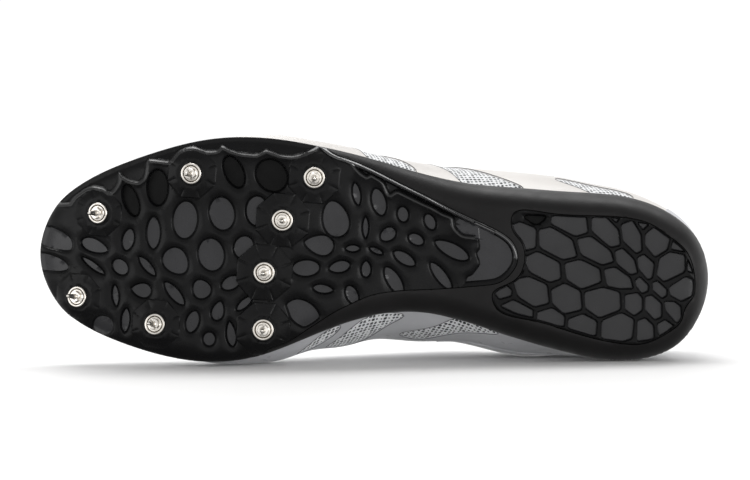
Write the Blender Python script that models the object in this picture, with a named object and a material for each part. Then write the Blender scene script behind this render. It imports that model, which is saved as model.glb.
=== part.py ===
"""Track spike shoe, a left one, empty, lying on its medial side.

The shoe is drawn upright in its own frame in millimetres: x from heel to toe,
y to the lateral side, z up from the plane the heel pad stands on. An empty then
lays it on its side, toe to -X, sole to -Y, lateral edge up, resting on the floor.
"""
import math

import bpy
import bmesh
import numpy as np
from mathutils import Matrix, Vector
from mathutils.bvhtree import BVHTree
from mathutils.geometry import delaunay_2d_cdt

MM = 0.001
GAP = 0.3                  # between curved neighbours

# ---------------------------------------------------------------- sole sizes
HEEL_TIP = (-1.2, 1.0)
TOE_TIP = (284.6, -8.0)
# plan of the whole sole: x, lateral edge, medial edge
SOLE = [
    (4, 18.3, -18.6), (12, 26.2, -27.7), (24, 32.2, -33.0), (40, 35.3, -34.8),
    (60, 35.4, -32.1), (82, 35.4, -27.5), (104, 35.8, -22.2), (126, 39.0, -20.5),
    (148, 43.7, -25.7), (168, 46.9, -34.8), (186, 48.6, -43.1), (204, 48.0, -47.2),
    (220, 44.9, -47.4), (236, 39.4, -45.1), (250, 33.4, -41.7), (262, 27.1, -37.5),
    (272, 20.0, -31.7), (279, 12.2, -23.9),
]
ARCH_FROM, ARCH_TO, ARCH_RISE = 68.8, 173.0, 3.44
SPRING_FROM, SPRING_LENGTH, SPRING_RISE, SPRING_POWER = 181.9, 98.3, 26.54, 1.9
BEVEL_FROM, BEVEL_RISE = 13.8, 2.0
HEEL_STACK, BALL_STACK = 15.0, 6.4      # sole edge height over its underside
STACK_FROM, STACK_TO = 55.0, 185.0
EDGE_WIDTH = 9.5                        # width of the rounded lower edge
PLATE_THICK = 4.2
PAD_THICK = 4.0
WEB_DEPTH, DEEP_DEPTH = 2.0, 2.9        # windows in the plate's web
CELL_DEPTH = 2.2                        # cells of the heel pad
RIB = 1.7                               # rib width of the heel pad

# spike plate where it leaves the sole's edge: x, y
PLATE_LATERAL = [(174, 52), (163, 45.2), (155, 42.3), (143.5, 38.4), (132, 33.6),
                 (120.5, 29.0), (111, 24.9), (98, 20.0), (89, 16.4)]
PLATE_END = [(84.6, 13.6), (82.3, 10.6), (81.1, 7.0), (81.3, 3.6), (83.4, -0.4),
             (87.4, -4.2)]
PLATE_MEDIAL = [(92.5, -5.9), (99, -7.0), (111, -8.9), (125.5, -10.6), (133.5, -11.9),
                (141, -13.8), (148, -17.3), (155, -21.3), (161, -25.6), (168, -31.0),
                (175, -36.2), (184, -41.0), (193, -50)]
# the web stops here and the plate's smooth end shows
WEB_END = [(99.5, 24), (98.2, 13.8), (97.4, 8.6), (98.5, 7.9), (98.6, 6.4), (96.9, 3.1),
           (97.2, 1.9), (98.9, -0.6), (99.9, -2.2), (101.3, -2.5), (102.3, -3.9),
           (102.7, -12), (72, -12), (72, 24)]
# windows of the web: x, y, half length, half width, turn (degrees), taper, point, depth
WINDOWS = [
    (234.5, 24.3, 7.9, 4.8, 86, 0.0, 0.0, "deep"), (245.7, 17.9, 7.2, 3.5, 66, 0.0, 0.0, "deep"),
    (202.5, 33.5, 7.4, 4.2, 61, 0.0, 0.0, "deep"), (186.6, 33.2, 7.6, 6.6, 46, 0.0, 0.0, "deep"),
    (260.1, -2.7, 6.6, 3.3, 15, -0.2, 0.1, "floor"), (245.6, 1.3, 5.2, 3.0, 99, 0.0, 0.1, "floor"),
    (234.9, 5.1, 7.3, 3.4, 87, 0.0, 0.1, "floor"), (221.7, 11.7, 8.4, 5.7, 91, 0.0, 0.0, "floor"),
    (206.3, 15.6, 7.5, 5.8, 76, 0.0, 0.0, "floor"), (191.6, 17.9, 6.7, 5.1, 86, 0.0, 0.0, "floor"),
    (196.1, 2.2, 5.3, 4.6, 106, 0.0, 0.0, "floor"), (209.6, -2.0, 7.4, 6.0, 76, 0.0, 0.0, "floor"),
    (224.4, -6.1, 6.5, 5.6, 45, -0.15, 0.0, "floor"), (236.6, -9.2, 5.7, 2.2, 44, 0.0, 0.15, "floor"),
    (248.2, -10.6, 4.3, 3.5, 39, 0.0, 0.0, "floor"), (260.1, -11.2, 6.7, 1.8, 31, 0.0, 0.2, "floor"),
    (249.4, -22.9, 5.0, 1.9, 81, 0.0, 0.2, "floor"), (238.4, -19.6, 4.8, 3.5, 4, 0.25, 0.1, "floor"),
    (224.1, -19.7, 6.7, 2.7, 45, 0.0, 0.15, "floor"), (212.7, -16.8, 4.6, 4.3, 55, 0.15, 0.0, "floor"),
    (200.4, -13.2, 4.8, 3.2, -32, 0.0, 0.1, "floor"), (205.0, -25.4, 4.6, 3.0, 101, 0.2, 0.1, "floor"),
    (194.1, -21.4, 4.7, 2.1, -46, 0.0, 0.1, "floor"), (215.5, -30.9, 5.2, 3.2, 103, 0.0, 0.1, "floor"),
    (244.3, -33.0, 5.7, 2.3, 91, 0.0, 0.2, "floor"), (253.9, -36.1, 5.1, 4.7, -6, 0.0, 0.0, "floor"),
    (207.9, -37.6, 3.4, 3.1, 86, 0.0, 0.0, "floor"), (198.8, -34.6, 5.8, 2.4, 78, 0.2, 0.2, "floor"),
    (158.5, 17.0, 8.2, 5.9, 71, 0.15, 0.0, "floor"), (164.6, 5.6, 6.7, 4.6, 6, 0.3, 0.1, "floor"),
    (169.3, -4.6, 6.2, 3.9, -7, 0.0, 0.0, "floor"), (155.3, -3.0, 5.0, 2.9, -16, 0.1, 0.15, "floor"),
    (144.1, -3.2, 3.9, 2.5, 86, 0.1, 0.15, "floor"), (150.3, 5.1, 3.5, 1.9, -4, 0.0, 0.15, "floor"),
    (140.4, 4.8, 3.5, 1.6, 21, 0.0, 0.15, "floor"), (161.5, -12.8, 4.8, 2.3, 4, -0.1, 0.2, "floor"),
    (149.2, -14.4, 4.6, 2.9, 61, 0.0, 0.0, "floor"), (145.6, 14.3, 5.1, 1.7, 86, 0.0, 0.25, "floor"),
    (150.4, 28.1, 5.3, 2.1, 76, 0.0, 0.2, "floor"), (140.8, 25.4, 6.3, 3.4, 71, 0.0, 0.1, "floor"),
    (136.0, 12.0, 4.0, 3.2, -39, 0.1, 0.0, "floor"), (130.3, 20.9, 3.7, 2.8, 76, 0.0, 0.0, "floor"),
    (118.7, 18.6, 4.0, 2.7, 61, 0.0, 0.1, "floor"), (124.0, 10.8, 3.9, 2.7, 24, 0.0, 0.0, "floor"),
    (108.7, 7.4, 8.4, 3.3, 23, 0.1, 0.1, "floor"), (128.3, 2.4, 5.7, 2.8, 28, 0.0, 0.15, "floor"),
    (132.0, -7.3, 7.2, 3.2, 54, 0.0, 0.1, "floor"), (112.4, -3.8, 7.6, 2.7, 48, 0.0, 0.1, "floor"),
    # scallops along the lateral edge
    (257.6, 29.0, 6.6, 5.9, 0, 0.0, 0.0, "floor"), (246.0, 33.8, 6.1, 5.9, 0, 0.0, 0.0, "floor"),
    (233.4, 40.3, 4.3, 3.8, 0, 0.0, 0.0, "floor"), (214.2, 47.3, 5.1, 4.2, 0, 0.0, 0.0, "floor"),
    (199.0, 48.9, 8.0, 6.7, 0, 0.0, 0.0, "deep"), (180.0, 49.4, 10.1, 7.5, 0, 0.0, 0.0, "deep"),
]
# windows with corners: two at the toe, one by the medial edge
CORNERED = [
    [(286, 3), (279.6, 4.4), (270.8, 0.6), (269.1, -3.6), (270.6, -6.9), (286, -5.4)],
    [(286, -7.6), (279.7, -7.6), (273.2, -9.6), (270.3, -12.4), (271.0, -14.5),
     (274.8, -15.8), (286, -16)],
    [(177.2, -20.4), (175.0, -18.3), (172.1, -17.2), (168.3, -17.8), (164.8, -19.7),
     (162.5, -22.3), (161.4, -25.0), (165.0, -28.0), (168.4, -30.2), (171.7, -28.7),
     (174.4, -26.6), (175.9, -23.1)],
]
# spikes: x, y, boss radius, lean towards the medial side (degrees)
SPIKES = [
    (265.7, -24.9, 9.5, 4.0), (231.1, -33.2, 10.0, 5.5), (185.3, -31.6, 11.0, 1.0),
    (186.6, -7.6, 11.5, 0.0), (180.6, 14.9, 11.0, 0.0), (259.1, 11.5, 9.5, 0.0),
    (220.2, 31.5, 10.0, -1.5), (168.6, 33.7, 10.5, -1.5),
]
BOSS_RISE, BOSS_SEAT, BOSS_STEP = 1.5, 5.2, 0.35
# heel pad: outline, and one seed for each cell
PAD = [(84, 24.6), (69.7, 26.0), (45, 26.5), (34, 26.2), (26, 24.4), (18.3, 20.0),
       (11.1, 14.9), (7.6, 9.0), (5.9, 2), (6.2, -4.6), (9.2, -9.5), (10.4, -15.0),
       (15, -19.8), (20.7, -23.6), (27, -26.0), (35.3, -26.2), (44, -25.3),
       (57, -22.7), (72, -19.4), (86.6, -16.6), (89.6, -13.0), (90, -9.2), (84.3, -5.2),
       (79.6, -1.2), (78.0, 3.4), (77.9, 8.4), (80, 13.4), (83.6, 17.6)]
CELLS = [
    (65.3, 13.9), (59.5, 23.6), (45.0, 20.8), (34.0, 19.3), (29.2, 25.0), (23.4, 17.3),
    (14.5, 16.4), (49.2, 11.5), (35.6, 8.6), (26.9, 6.9), (16.4, 7.4), (6.8, 8.6),
    (69.9, 3.6), (53.1, 1.8), (38.2, 0.9), (28.1, -1.1), (20.2, -2.2), (9.8, -1.9),
    (74.3, -7.3), (59.2, -9.2), (43.9, -9.6), (30.9, -9.0), (22.6, -10.2), (13.7, -11.6),
    (87.5, -7.6), (80.0, -17.6), (65.9, -20.0), (51.0, -20.6), (37.0, -21.0),
    (25.7, -20.6), (17.2, -18.6), (80.4, 2.0), (77.2, 16.2), (41.2, 27.6),
]
PAD_NOTCH = [(81.0, 24.0), (69.4, 25.0), (70.3, 22.6), (74.0, 20.3)]

# --------------------------------------------------------------- upper sizes
WALL, COLLAR_WALL = 1.8, 3.0
FEATHER_INSET = 0.9
# ribs of the upper, once round from the toe by the lateral side: side, x of the
# foot of the rib, lean out and rise of its first handle, second handle (x, y, z),
# end on the opening's edge (x, y, z)
UPPER = [
    ("toe", 284.6, 1.0, 14.5, 239, -1, 54.0, 187, 1.0, 60.5),
    ("lat", 272, 0.6, 14.5, 233, 15, 53.0, 186.4, 4.7, 60.3),
    ("lat", 250, 0.8, 16.5, 222, 28, 51.5, 184, 7.7, 60.4),
    ("lat", 226, 1.2, 18.5, 206, 35, 52.0, 180.5, 9.4, 61.2),
    ("lat", 200, 5.2, 20.5, 188, 39, 55.5, 174, 10.1, 63.6),
    ("lat", 176, 4.2, 22.5, 171, 38, 60.0, 163, 10.5, 68.2),
    ("lat", 152, 7.0, 23.5, 150, 38, 66.0, 148, 11.0, 75.2),
    ("lat", 130, 10.5, 22.0, 130, 40, 70.0, 132, 11.6, 82.6),
    ("lat", 110, 13.0, 21.0, 113, 41.5, 74.0, 115, 13.0, 89.5),
    ("lat", 92, 13.0, 20.0, 97, 42.5, 67.0, 99, 22.0, 83.0),
    ("lat", 74, 11.5, 18.0, 77, 42.5, 53.0, 80, 31.5, 68.5),
    ("lat", 56, 8.0, 17.0, 57, 41.0, 48.0, 58, 33.5, 61.5),
    ("lat", 36, 4.0, 18.0, 37, 37.0, 50.0, 38, 30.0, 62.5),
    ("lat", 16, 2.5, 19.0, 17.0, 27.0, 54.0, 20, 21.0, 68.0),
    ("heel", -1.2, 3.5, 22.0, -1.5, 1, 58.0, 6.5, 1.0, 75.0),
    ("med", 16, 2.5, 19.0, 17.0, -27.0, 55.0, 20, -20.5, 69.5),
    ("med", 36, 1.5, 18.0, 37, -34.2, 52.0, 38, -30.0, 65.0),
    ("med", 56, 5.6, 17.0, 57, -36.6, 50.0, 58, -34.0, 64.0),
    ("med", 74, 12.0, 18.0, 77, -42.0, 55.0, 80, -31.5, 70.0),
    ("med", 92, 17.0, 19.0, 97, -38.5, 68.0, 99, -21.0, 85.0),
    ("med", 110, 22.0, 20.0, 113, -40.0, 75.0, 115, -11.0, 90.5),
    ("med", 130, 22.5, 22.0, 130, -41.0, 70.0, 132, -9.6, 83.0),
    ("med", 152, 19.0, 23.0, 150, -43.0, 64.0, 148, -9.0, 75.6),
    ("med", 176, 15.0, 14.0, 171, -41.5, 56.0, 163, -8.5, 68.6),
    ("med", 200, 10.0, 12.5, 188, -40.0, 50.0, 174, -8.1, 63.9),
    ("med", 226, 3.2, 13.0, 206, -38.0, 51.0, 180.5, -7.2, 61.3),
    ("med", 250, 1.0, 15.5, 222, -31.0, 50.5, 184, -5.4, 60.5),
    ("med", 272, 0.6, 14.0, 233, -17.0, 52.5, 186.4, -2.4, 60.4),
]
INSOLE_THICK = 3.0
# tongue sections: x, middle y, half width, drop at its edges, thickness, crown where free
TONGUE = [
    (198, 1.0, 15.0, 3.6, 2.6, 99), (188, 1.0, 17.0, 4.6, 3.0, 99), (176, 1.0, 19.5, 6.0, 4.0, 99),
    (162, 0.9, 21.5, 7.2, 4.6, 99), (148, 0.8, 23.0, 8.0, 5.0, 99), (134, 0.8, 24.5, 8.6, 5.2, 99),
    (122, 0.9, 23.0, 8.8, 5.4, 99), (113, 1.0, 18.5, 7.0, 5.6, 99), (104, 1.0, 15.5, 6.0, 5.6, 88.0),
    (96, 1.0, 16.5, 6.4, 5.2, 95.0), (90, 1.0, 13.5, 4.8, 4.0, 99.0),
]
# eyelet rows: x
EYELETS = [176, 165, 154, 143, 132, 121]
EYELET_IN = 5.5
LACE_WIDTH, LACE_THICK = 4.6, 1.2

# ---------------------------------------------------------------- lying pose
LIE_TURN = 4.97            # degrees: in the sole's plane, medial edge level
LIE_ROLL = -0.56            # degrees: sole tipped up


# ------------------------------------------------------------------- helpers
def smooth(t):
    t = np.clip(t, 0.0, 1.0)
    return t * t * (3.0 - 2.0 * t)


def closed_spline(knots, values):
    """Periodic cubic spline: values at knots in 0..1, repeating after 1."""
    t = np.asarray(knots, float)
    v = np.asarray(values, float)
    n = len(t)
    h = np.diff(np.append(t, t[0] + 1.0))
    a = np.zeros((n, n))
    r = np.zeros(v.shape)
    for i in range(n):
        p, q = (i - 1) % n, (i + 1) % n
        a[i, p] += h[p]
        a[i, i] += 2.0 * (h[p] + h[i])
        a[i, q] += h[i]
        r[i] = 6.0 * ((v[q] - v[i]) / h[i] - (v[i] - v[p]) / h[p])
    m = np.linalg.solve(a, r)

    def f(u):
        u = (np.asarray(u, float) - t[0]) % 1.0 + t[0]
        i = np.clip(np.searchsorted(t, u, side="right") - 1, 0, n - 1)
        j = (i + 1) % n
        hi = h[i][..., None]
        b = (u - t[i])[..., None] / hi
        c = 1.0 - b
        return (c * v[i] + b * v[j]
                + ((c ** 3 - c) * m[i] + (b ** 3 - b) * m[j]) * hi ** 2 / 6.0)
    return f


def chord_knots(points):
    p = np.asarray(points, float)
    step = np.linalg.norm(np.roll(p, -1, axis=0) - p, axis=1) ** 0.75
    k = np.concatenate([[0.0], np.cumsum(step)])
    return k[:-1] / k[-1]


def smooth_loop(points, count):
    f = closed_spline(chord_knots(points), points)
    return f(np.arange(count) / count)


# the sole's plan, once round by arc length: 0 toe, lateral, heel, medial
_ring = ([TOE_TIP] + [(x, a) for x, a, b in reversed(SOLE)] + [HEEL_TIP]
         + [(x, b) for x, a, b in SOLE])
_dense = smooth_loop(_ring, 2000)
_len = np.concatenate([[0.0], np.cumsum(np.linalg.norm(np.diff(_dense, axis=0, append=_dense[:1]), axis=1))])


def outline(u):
    u = np.asarray(u, float) % 1.0 * _len[-1]
    x = np.interp(u, _len, np.append(_dense[:, 0], _dense[0, 0]))
    y = np.interp(u, _len, np.append(_dense[:, 1], _dense[0, 1]))
    return np.stack([x, y], axis=-1)


def outward(u):
    t = outline(np.asarray(u) + 0.002) - outline(np.asarray(u) - 0.002)
    n = np.stack([t[..., 1], -t[..., 0]], axis=-1)
    return n / np.linalg.norm(n, axis=-1, keepdims=True)


def inset(u, d):
    return outline(u) - outward(u) * d


def edge_distance(x, y):
    p = np.stack([np.asarray(x, float).ravel(), np.asarray(y, float).ravel()], axis=1)
    out = np.empty(len(p))
    ring = _dense[::2]
    for s in range(0, len(p), 400):
        q = p[s:s + 400]
        out[s:s + 400] = np.sqrt(((q[:, None, :] - ring[None]) ** 2).sum(2).min(1))
    return out.reshape(np.shape(x))


def station(side, x):
    """Fraction round the outline of a place on one side."""
    if side == "toe":
        return 0.0
    u = np.linspace(0.02, 0.48, 1500) if side == "lat" else np.linspace(0.52, 0.98, 1500)
    if side == "heel":
        u = np.linspace(0.4, 0.6, 1500)
    p = outline(u)
    return float(u[np.argmin(np.abs(p[:, 0] - x))])


def base_line(x):
    x = np.asarray(x, float)
    t = np.clip((x - ARCH_FROM) / (ARCH_TO - ARCH_FROM), 0, 1)
    arch = ARCH_RISE * np.sin(math.pi * t) ** 2
    return arch + SPRING_RISE * np.clip((x - SPRING_FROM) / SPRING_LENGTH, 0, None) ** SPRING_POWER


def ground(x):
    x = np.asarray(x, float)
    return base_line(x) + BEVEL_RISE * np.clip((BEVEL_FROM - x) / BEVEL_FROM, 0, None) ** 2


def stack(x):
    return HEEL_STACK - (HEEL_STACK - BALL_STACK) * smooth((np.asarray(x, float) - STACK_FROM) / (STACK_TO - STACK_FROM))


def sole_top(x):
    return base_line(x) + stack(x)


def edge_rise(x, y):
    s = np.clip(edge_distance(x, y) / EDGE_WIDTH, 0, 1)
    return 1.0 - np.sqrt(np.clip(1.0 - (1.0 - s) ** 2, 0, 1))


def inside(loop, x, y):
    p = np.asarray(loop, float)
    a, b = p, np.roll(p, -1, axis=0)
    x, y = np.asarray(x, float)[..., None], np.asarray(y, float)[..., None]
    cross = (a[:, 1] > y) != (b[:, 1] > y)
    with np.errstate(divide="ignore", invalid="ignore"):
        at = (b[:, 0] - a[:, 0]) * (y - a[:, 1]) / (b[:, 1] - a[:, 1]) + a[:, 0]
    return (cross & (x < at)).sum(-1) % 2 == 1


def material(name, colour, rough, metal=0.0):
    m = bpy.data.materials.new(name)
    m.use_nodes = True
    bsdf = m.node_tree.nodes["Principled BSDF"]
    bsdf.inputs["Base Color"].default_value = (*colour, 1.0)
    bsdf.inputs["Roughness"].default_value = rough
    bsdf.inputs["Metallic"].default_value = metal
    m.diffuse_color = (*colour, 1.0)
    return m


def add_object(name, verts, faces, mat, parent, round_shade=True):
    """One closed body from points in millimetres."""
    bm = bmesh.new()
    vs = [bm.verts.new(Vector(v) * MM) for v in verts]
    for f in faces:
        bm.faces.new([vs[i] for i in f])
    bmesh.ops.delete(bm, geom=[v for v in bm.verts if not v.link_faces], context="VERTS")
    bmesh.ops.recalc_face_normals(bm, faces=bm.faces[:])
    mesh = bpy.data.meshes.new(name)
    bm.to_mesh(mesh)
    bm.free()
    mesh.materials.append(mat)
    if round_shade:
        mesh.shade_smooth()
        mesh.set_sharp_from_angle(angle=math.radians(35))
    ob = bpy.data.objects.new(name, mesh)
    bpy.context.scene.collection.objects.link(ob)
    ob.parent = parent
    return ob


def zip_columns(a, b):
    """Triangles between two upright chains of vertex numbers."""
    out, i, j = [], 0, 0
    while i < len(a) - 1 or j < len(b) - 1:
        fa = (i + 1) / max(len(a) - 1, 1) if i < len(a) - 1 else 9
        fb = (j + 1) / max(len(b) - 1, 1) if j < len(b) - 1 else 9
        if fa <= fb:
            out.append((a[i], a[i + 1], b[j]))
            i += 1
        else:
            out.append((a[i], b[j + 1], b[j]))
            j += 1
    return out


def slab(keep, regions, low, top, points=(), lines=(), top_points=(), bound=None):
    """Closed slab over the plan inside every loop of keep.

    regions is a list of (loop, tag), later ones on top and, with a bound, only
    inside that loop; low(tag, x, y) is the height of the lower skin there,
    top(x, y) the upper skin. An upright wall joins the skins of two regions.
    """
    co, ed = [], []

    def add(loop, closed=True):
        b, n = len(co), len(loop)
        co.extend(Vector((float(p[0]), float(p[1]))) for p in loop)
        ed.extend((b + i, b + (i + 1) % n) for i in range(n if closed else n - 1))

    for loop in keep:
        add(loop)
    for loop, tag in regions:
        add(loop)
    if bound is not None:
        add(bound)
    for line in lines:
        add(line, False)
    co.extend(Vector((float(p[0]), float(p[1]))) for p in points)
    v, e, f, _, _, _ = delaunay_2d_cdt(co, ed, [], 0, 1e-4)
    xy = np.array([(p[0], p[1]) for p in v])
    tri = np.array([t for t in f if len(t) == 3])
    mid = xy[tri].mean(1)
    ok = np.ones(len(tri), bool)
    for loop in keep:
        ok &= inside(loop, mid[:, 0], mid[:, 1])
    tri, mid = tri[ok], mid[ok]
    tags = np.full(len(tri), -1)
    for k, (loop, tag) in enumerate(regions):
        tags[inside(loop, mid[:, 0], mid[:, 1])] = k
    if bound is not None:
        tags[~inside(bound, mid[:, 0], mid[:, 1])] = -1
    names = [t for _, t in regions] + [None]

    verts, index, columns = [], {}, {}
    for k in sorted(set(tags.tolist())):
        ids = np.unique(tri[tags == k])
        z = np.atleast_1d(low(names[k], xy[ids, 0], xy[ids, 1]))
        for i, zz in zip(ids.tolist(), z.tolist()):
            col = columns.setdefault(i, [])
            same = [c for c in col if abs(c[0] - zz) < 0.02]
            if same:
                index[i, k] = same[0][1]
            else:
                index[i, k] = len(verts)
                col.append((zz, len(verts)))
                verts.append((xy[i, 0], xy[i, 1], zz))
    faces, edges = [], {}
    for t, k in zip(tri.tolist(), tags.tolist()):
        faces.append(tuple(index[i, k] for i in t))
        for a, b in ((t[0], t[1]), (t[1], t[2]), (t[2], t[0])):
            edges.setdefault((min(a, b), max(a, b)), []).append(k)
    rim = {}
    for (a, b), ks in edges.items():
        if len(ks) == 1:
            rim.setdefault(a, []).append(b)
            rim.setdefault(b, []).append(a)
    for i in rim:
        zz = float(top(xy[i:i + 1, 0], xy[i:i + 1, 1])[0])
        index[i, "top"] = len(verts)
        columns[i].append((zz, len(verts)))
        verts.append((xy[i, 0], xy[i, 1], zz))
    for c in columns.values():
        c.sort()

    def chain(i, a, b):
        ids = [n for _, n in columns[i]]
        p, q = ids.index(index[i, a]), ids.index(index[i, b])
        return ids[p:q + 1] if p <= q else ids[q:p + 1][::-1]

    for (a, b), ks in edges.items():
        if len(ks) == 1:
            faces += zip_columns(chain(a, ks[0], "top"), chain(b, ks[0], "top"))
        elif ks[0] != ks[1]:
            faces += zip_columns(chain(a, *ks), chain(b, *ks))
    # upper skin on the same rim
    start = next(iter(rim))
    ring, prev = [start], None
    while True:
        nxt = [n for n in rim[ring[-1]] if n != prev]
        prev = ring[-1]
        if nxt[0] == start:
            break
        ring.append(nxt[0])
    loop = xy[ring]
    co2 = [Vector((float(p[0]), float(p[1]))) for p in loop]
    n = len(co2)
    extra = [p for p in top_points if inside(loop, p[0], p[1])]
    co2 += [Vector((float(p[0]), float(p[1]))) for p in extra]
    v2, e2, f2, ov, _, _ = delaunay_2d_cdt(co2, [(i, (i + 1) % n) for i in range(n)], [], 0, 1e-6)
    number = {}
    for i, p in enumerate(v2):
        src = [s for s in ov[i] if s < n]
        if src:
            number[i] = index[ring[src[0]], "top"]
        else:
            number[i] = len(verts)
            verts.append((p[0], p[1], float(top(np.array([p[0]]), np.array([p[1]]))[0])))
    for t in f2:
        c = np.mean([[v2[i][0], v2[i][1]] for i in t], axis=0)
        if inside(loop, c[0], c[1]):
            faces.append(tuple(number[i] for i in t))
    return verts, faces


def lattice(x0, x1, step, half=60):
    return [(x, y) for k, x in enumerate(np.arange(x0, x1, step))
            for y in np.arange(-half + (k % 2) * step / 2, half, step)]


def inner_points(spacing, clear):
    """Lattice points that stay clear of the sole's edge."""
    g = np.array(lattice(0, 285, spacing))
    d = edge_distance(g[:, 0], g[:, 1])
    ok = inside(_dense, g[:, 0], g[:, 1]) & (d > clear)
    return g[ok].tolist()


# ------------------------------------------------------------------ the sole
def plate_zone(grow=0.0):
    """Plan of the spike plate, carried past the sole's edge round the toe."""
    path = np.array(PLATE_LATERAL + PLATE_END + PLATE_MEDIAL, float)
    f = closed_spline(chord_knots(path), path)
    k = chord_knots(path)
    way = f(np.linspace(k[0], k[-1], 3 * len(path)))
    t = np.gradient(way, axis=0)
    n = np.stack([t[:, 1], -t[:, 0]], 1)
    n /= np.linalg.norm(n, axis=1, keepdims=True)
    n *= np.sign((n * (way - np.array([130.0, 5.0]))).sum(1).mean())
    way = way + n * grow
    return np.concatenate([way, [(240, -80), (310, -60), (310, 60), (240, 80), (180, 70)]])


def plate_skin(x, y):
    proud = 0.5 * (1.0 - smooth((np.asarray(x, float) - 150) / 30))
    return ground(x) + PLATE_THICK * edge_rise(x, y) - proud


def octagon(cx, cy, r, turn=22.5):
    a = np.radians(np.arange(8) * 45.0 + turn)
    r = r / math.cos(math.pi / 8)
    return np.stack([cx + r * np.cos(a), cy + r * np.sin(a)], 1)


def octagon_radius(dx, dy):
    a = np.arctan2(dy, dx)
    k = np.mod(a + math.pi / 8, math.pi / 4) - math.pi / 8
    return np.hypot(dx, dy) * np.cos(k)


def window(x, y, a, b, turn, taper, point, count):
    t = np.arange(count) * 2 * math.pi / count
    s = np.sin(t)
    px = a * np.cos(t)
    py = b * s * np.abs(s) ** point * (1.0 - taper * np.cos(t))
    r = math.radians(turn)
    return np.stack([x + px * math.cos(r) - py * math.sin(r),
                     y + px * math.sin(r) + py * math.cos(r)], 1)


def plate_low(tag, x, y):
    z = plate_skin(x, y)
    cap = ground(x) + PLATE_THICK
    if tag is None:
        return z
    if tag == "floor":
        return np.minimum(z + WEB_DEPTH, cap - 0.9 + 0.2 * (z - cap + PLATE_THICK) / PLATE_THICK)
    if tag == "deep":
        return np.minimum(z + DEEP_DEPTH, cap - 0.7 + 0.2 * (z - cap + PLATE_THICK) / PLATE_THICK)
    cx, cy, radius, lean = SPIKES[tag]
    c = float(ground(cx))
    slope = float(ground(cx + 0.5) - ground(cx - 0.5))
    flat = c + slope * (x - cx) + math.tan(math.radians(lean)) * (y - cy) - BOSS_RISE
    t = np.clip((octagon_radius(x - cx, y - cy) - BOSS_SEAT) / (radius - BOSS_SEAT), 0, 1)
    return (1 - t) * flat + t * (z - BOSS_STEP)


def spike_plate():
    around = inset(np.arange(96) / 96, 0.15)
    zone = plate_zone()
    regions = [(window(*w[:7], 12 if w[2] * w[3] > 14 else 9), w[7]) for w in WINDOWS]
    regions += [(np.array(c), "floor") for c in CORNERED]
    regions.append((np.array(WEB_END), "floor"))
    lines = []
    for k, (cx, cy, radius, lean) in enumerate(SPIKES):
        seat, foot = octagon(cx, cy, BOSS_SEAT), octagon(cx, cy, radius)
        regions.append((foot, k))
        lines.append(np.concatenate([seat, seat[:1]]))
        lines += [[seat[i], foot[i]] for i in range(8)]
    points = []
    for d, n in ((1.2, 60), (3.4, 54), (6.4, 48)):
        points += inset(np.arange(n) / n, d).tolist()
    points += inner_points(13.0, 11.0)
    top_points = lattice(90, 285, 17)
    return slab([around, zone], regions, plate_low, lambda x, y: ground(x) + PLATE_THICK,
                points, lines, top_points)


def midsole_low(tag, x, y):
    if tag == "plate":
        return ground(x) + PLATE_THICK + GAP + 0.1
    if tag == "pad":
        return ground(x) + PAD_THICK + GAP + 0.1
    cap = sole_top(x) - 1.2
    return np.minimum(ground(x) + stack(x) * edge_rise(x, y), cap)


def midsole():
    around = inset(np.arange(84) / 84, 0.3)
    regions = [(plate_zone(GAP + 0.05), "plate"), (pad_loop(-GAP - 0.05), "pad")]
    points = []
    for d, n in ((0.9, 84), (2.4, 72), (5.0, 60), (8.4, 48)):
        points += [p for p in inset(np.arange(n) / n, d).tolist() if p[0] < 190]
    points += inner_points(15.0, 11.0)
    return slab([around], regions, midsole_low, lambda x, y: sole_top(x), points, (),
                inner_points(22.0, 8.0))


def pad_loop(shrink):
    p = smooth_loop(PAD, 44)
    t = np.roll(p, -1, axis=0) - np.roll(p, 1, axis=0)
    n = np.stack([t[:, 1], -t[:, 0]], 1)
    n /= np.linalg.norm(n, axis=1, keepdims=True)
    area = (p[:, 0] * np.roll(p[:, 1], -1) - np.roll(p[:, 0], -1) * p[:, 1]).sum()
    return p - n * shrink * np.sign(area)


def clip_half(poly, point, normal):
    """Part of a polygon on the side of the line that normal points away from."""
    out = []
    for i in range(len(poly)):
        a, b = poly[i], poly[(i + 1) % len(poly)]
        da, db = np.dot(a - point, normal), np.dot(b - point, normal)
        if da <= 0:
            out.append(a)
        if (da < 0 < db) or (db < 0 < da):
            out.append(a + (b - a) * da / (da - db))
    return out


def tidy(poly, least):
    out = []
    for p in poly:
        if not out or np.linalg.norm(p - out[-1]) > least:
            out.append(p)
    while len(out) > 2 and np.linalg.norm(out[0] - out[-1]) <= least:
        out.pop()
    return np.array(out)


def heel_cells(rib, least=0.9):
    """One convex cell round each seed, half a rib back from its neighbours."""
    cells = []
    seeds = np.array(CELLS, float)
    for i, s in enumerate(seeds):
        poly = [np.array(p) for p in ((-5, -35), (98, -35), (98, 35), (-5, 35))]
        for j, o in enumerate(seeds):
            gap = np.linalg.norm(o - s)
            if i == j or gap > 60:
                continue
            n = (o - s) / gap
            poly = clip_half(poly, (s + o) / 2 - n * rib / 2, n)
            if len(poly) < 3:
                break
        if len(poly) > 2:
            cells.append(tidy(poly, least))
    return cells


def heel_low(tag, x, y):
    z = ground(x) + stack(x) * edge_rise(x, y) - 0.3
    if tag == "cell":
        return z + CELL_DEPTH
    if tag == "notch":
        return z + 3.0
    return z


def heel_outsole():
    loop = pad_loop(0.0)
    regions = [(c, "cell") for c in heel_cells(RIB)]
    regions.append((np.array(PAD_NOTCH, float), "notch"))
    return slab([loop], regions, heel_low, lambda x, y: ground(x) + PAD_THICK,
                inset(np.arange(60) / 60, 9.6).tolist(), (), lattice(10, 90, 20),
                bound=pad_loop(1.1))


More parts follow.
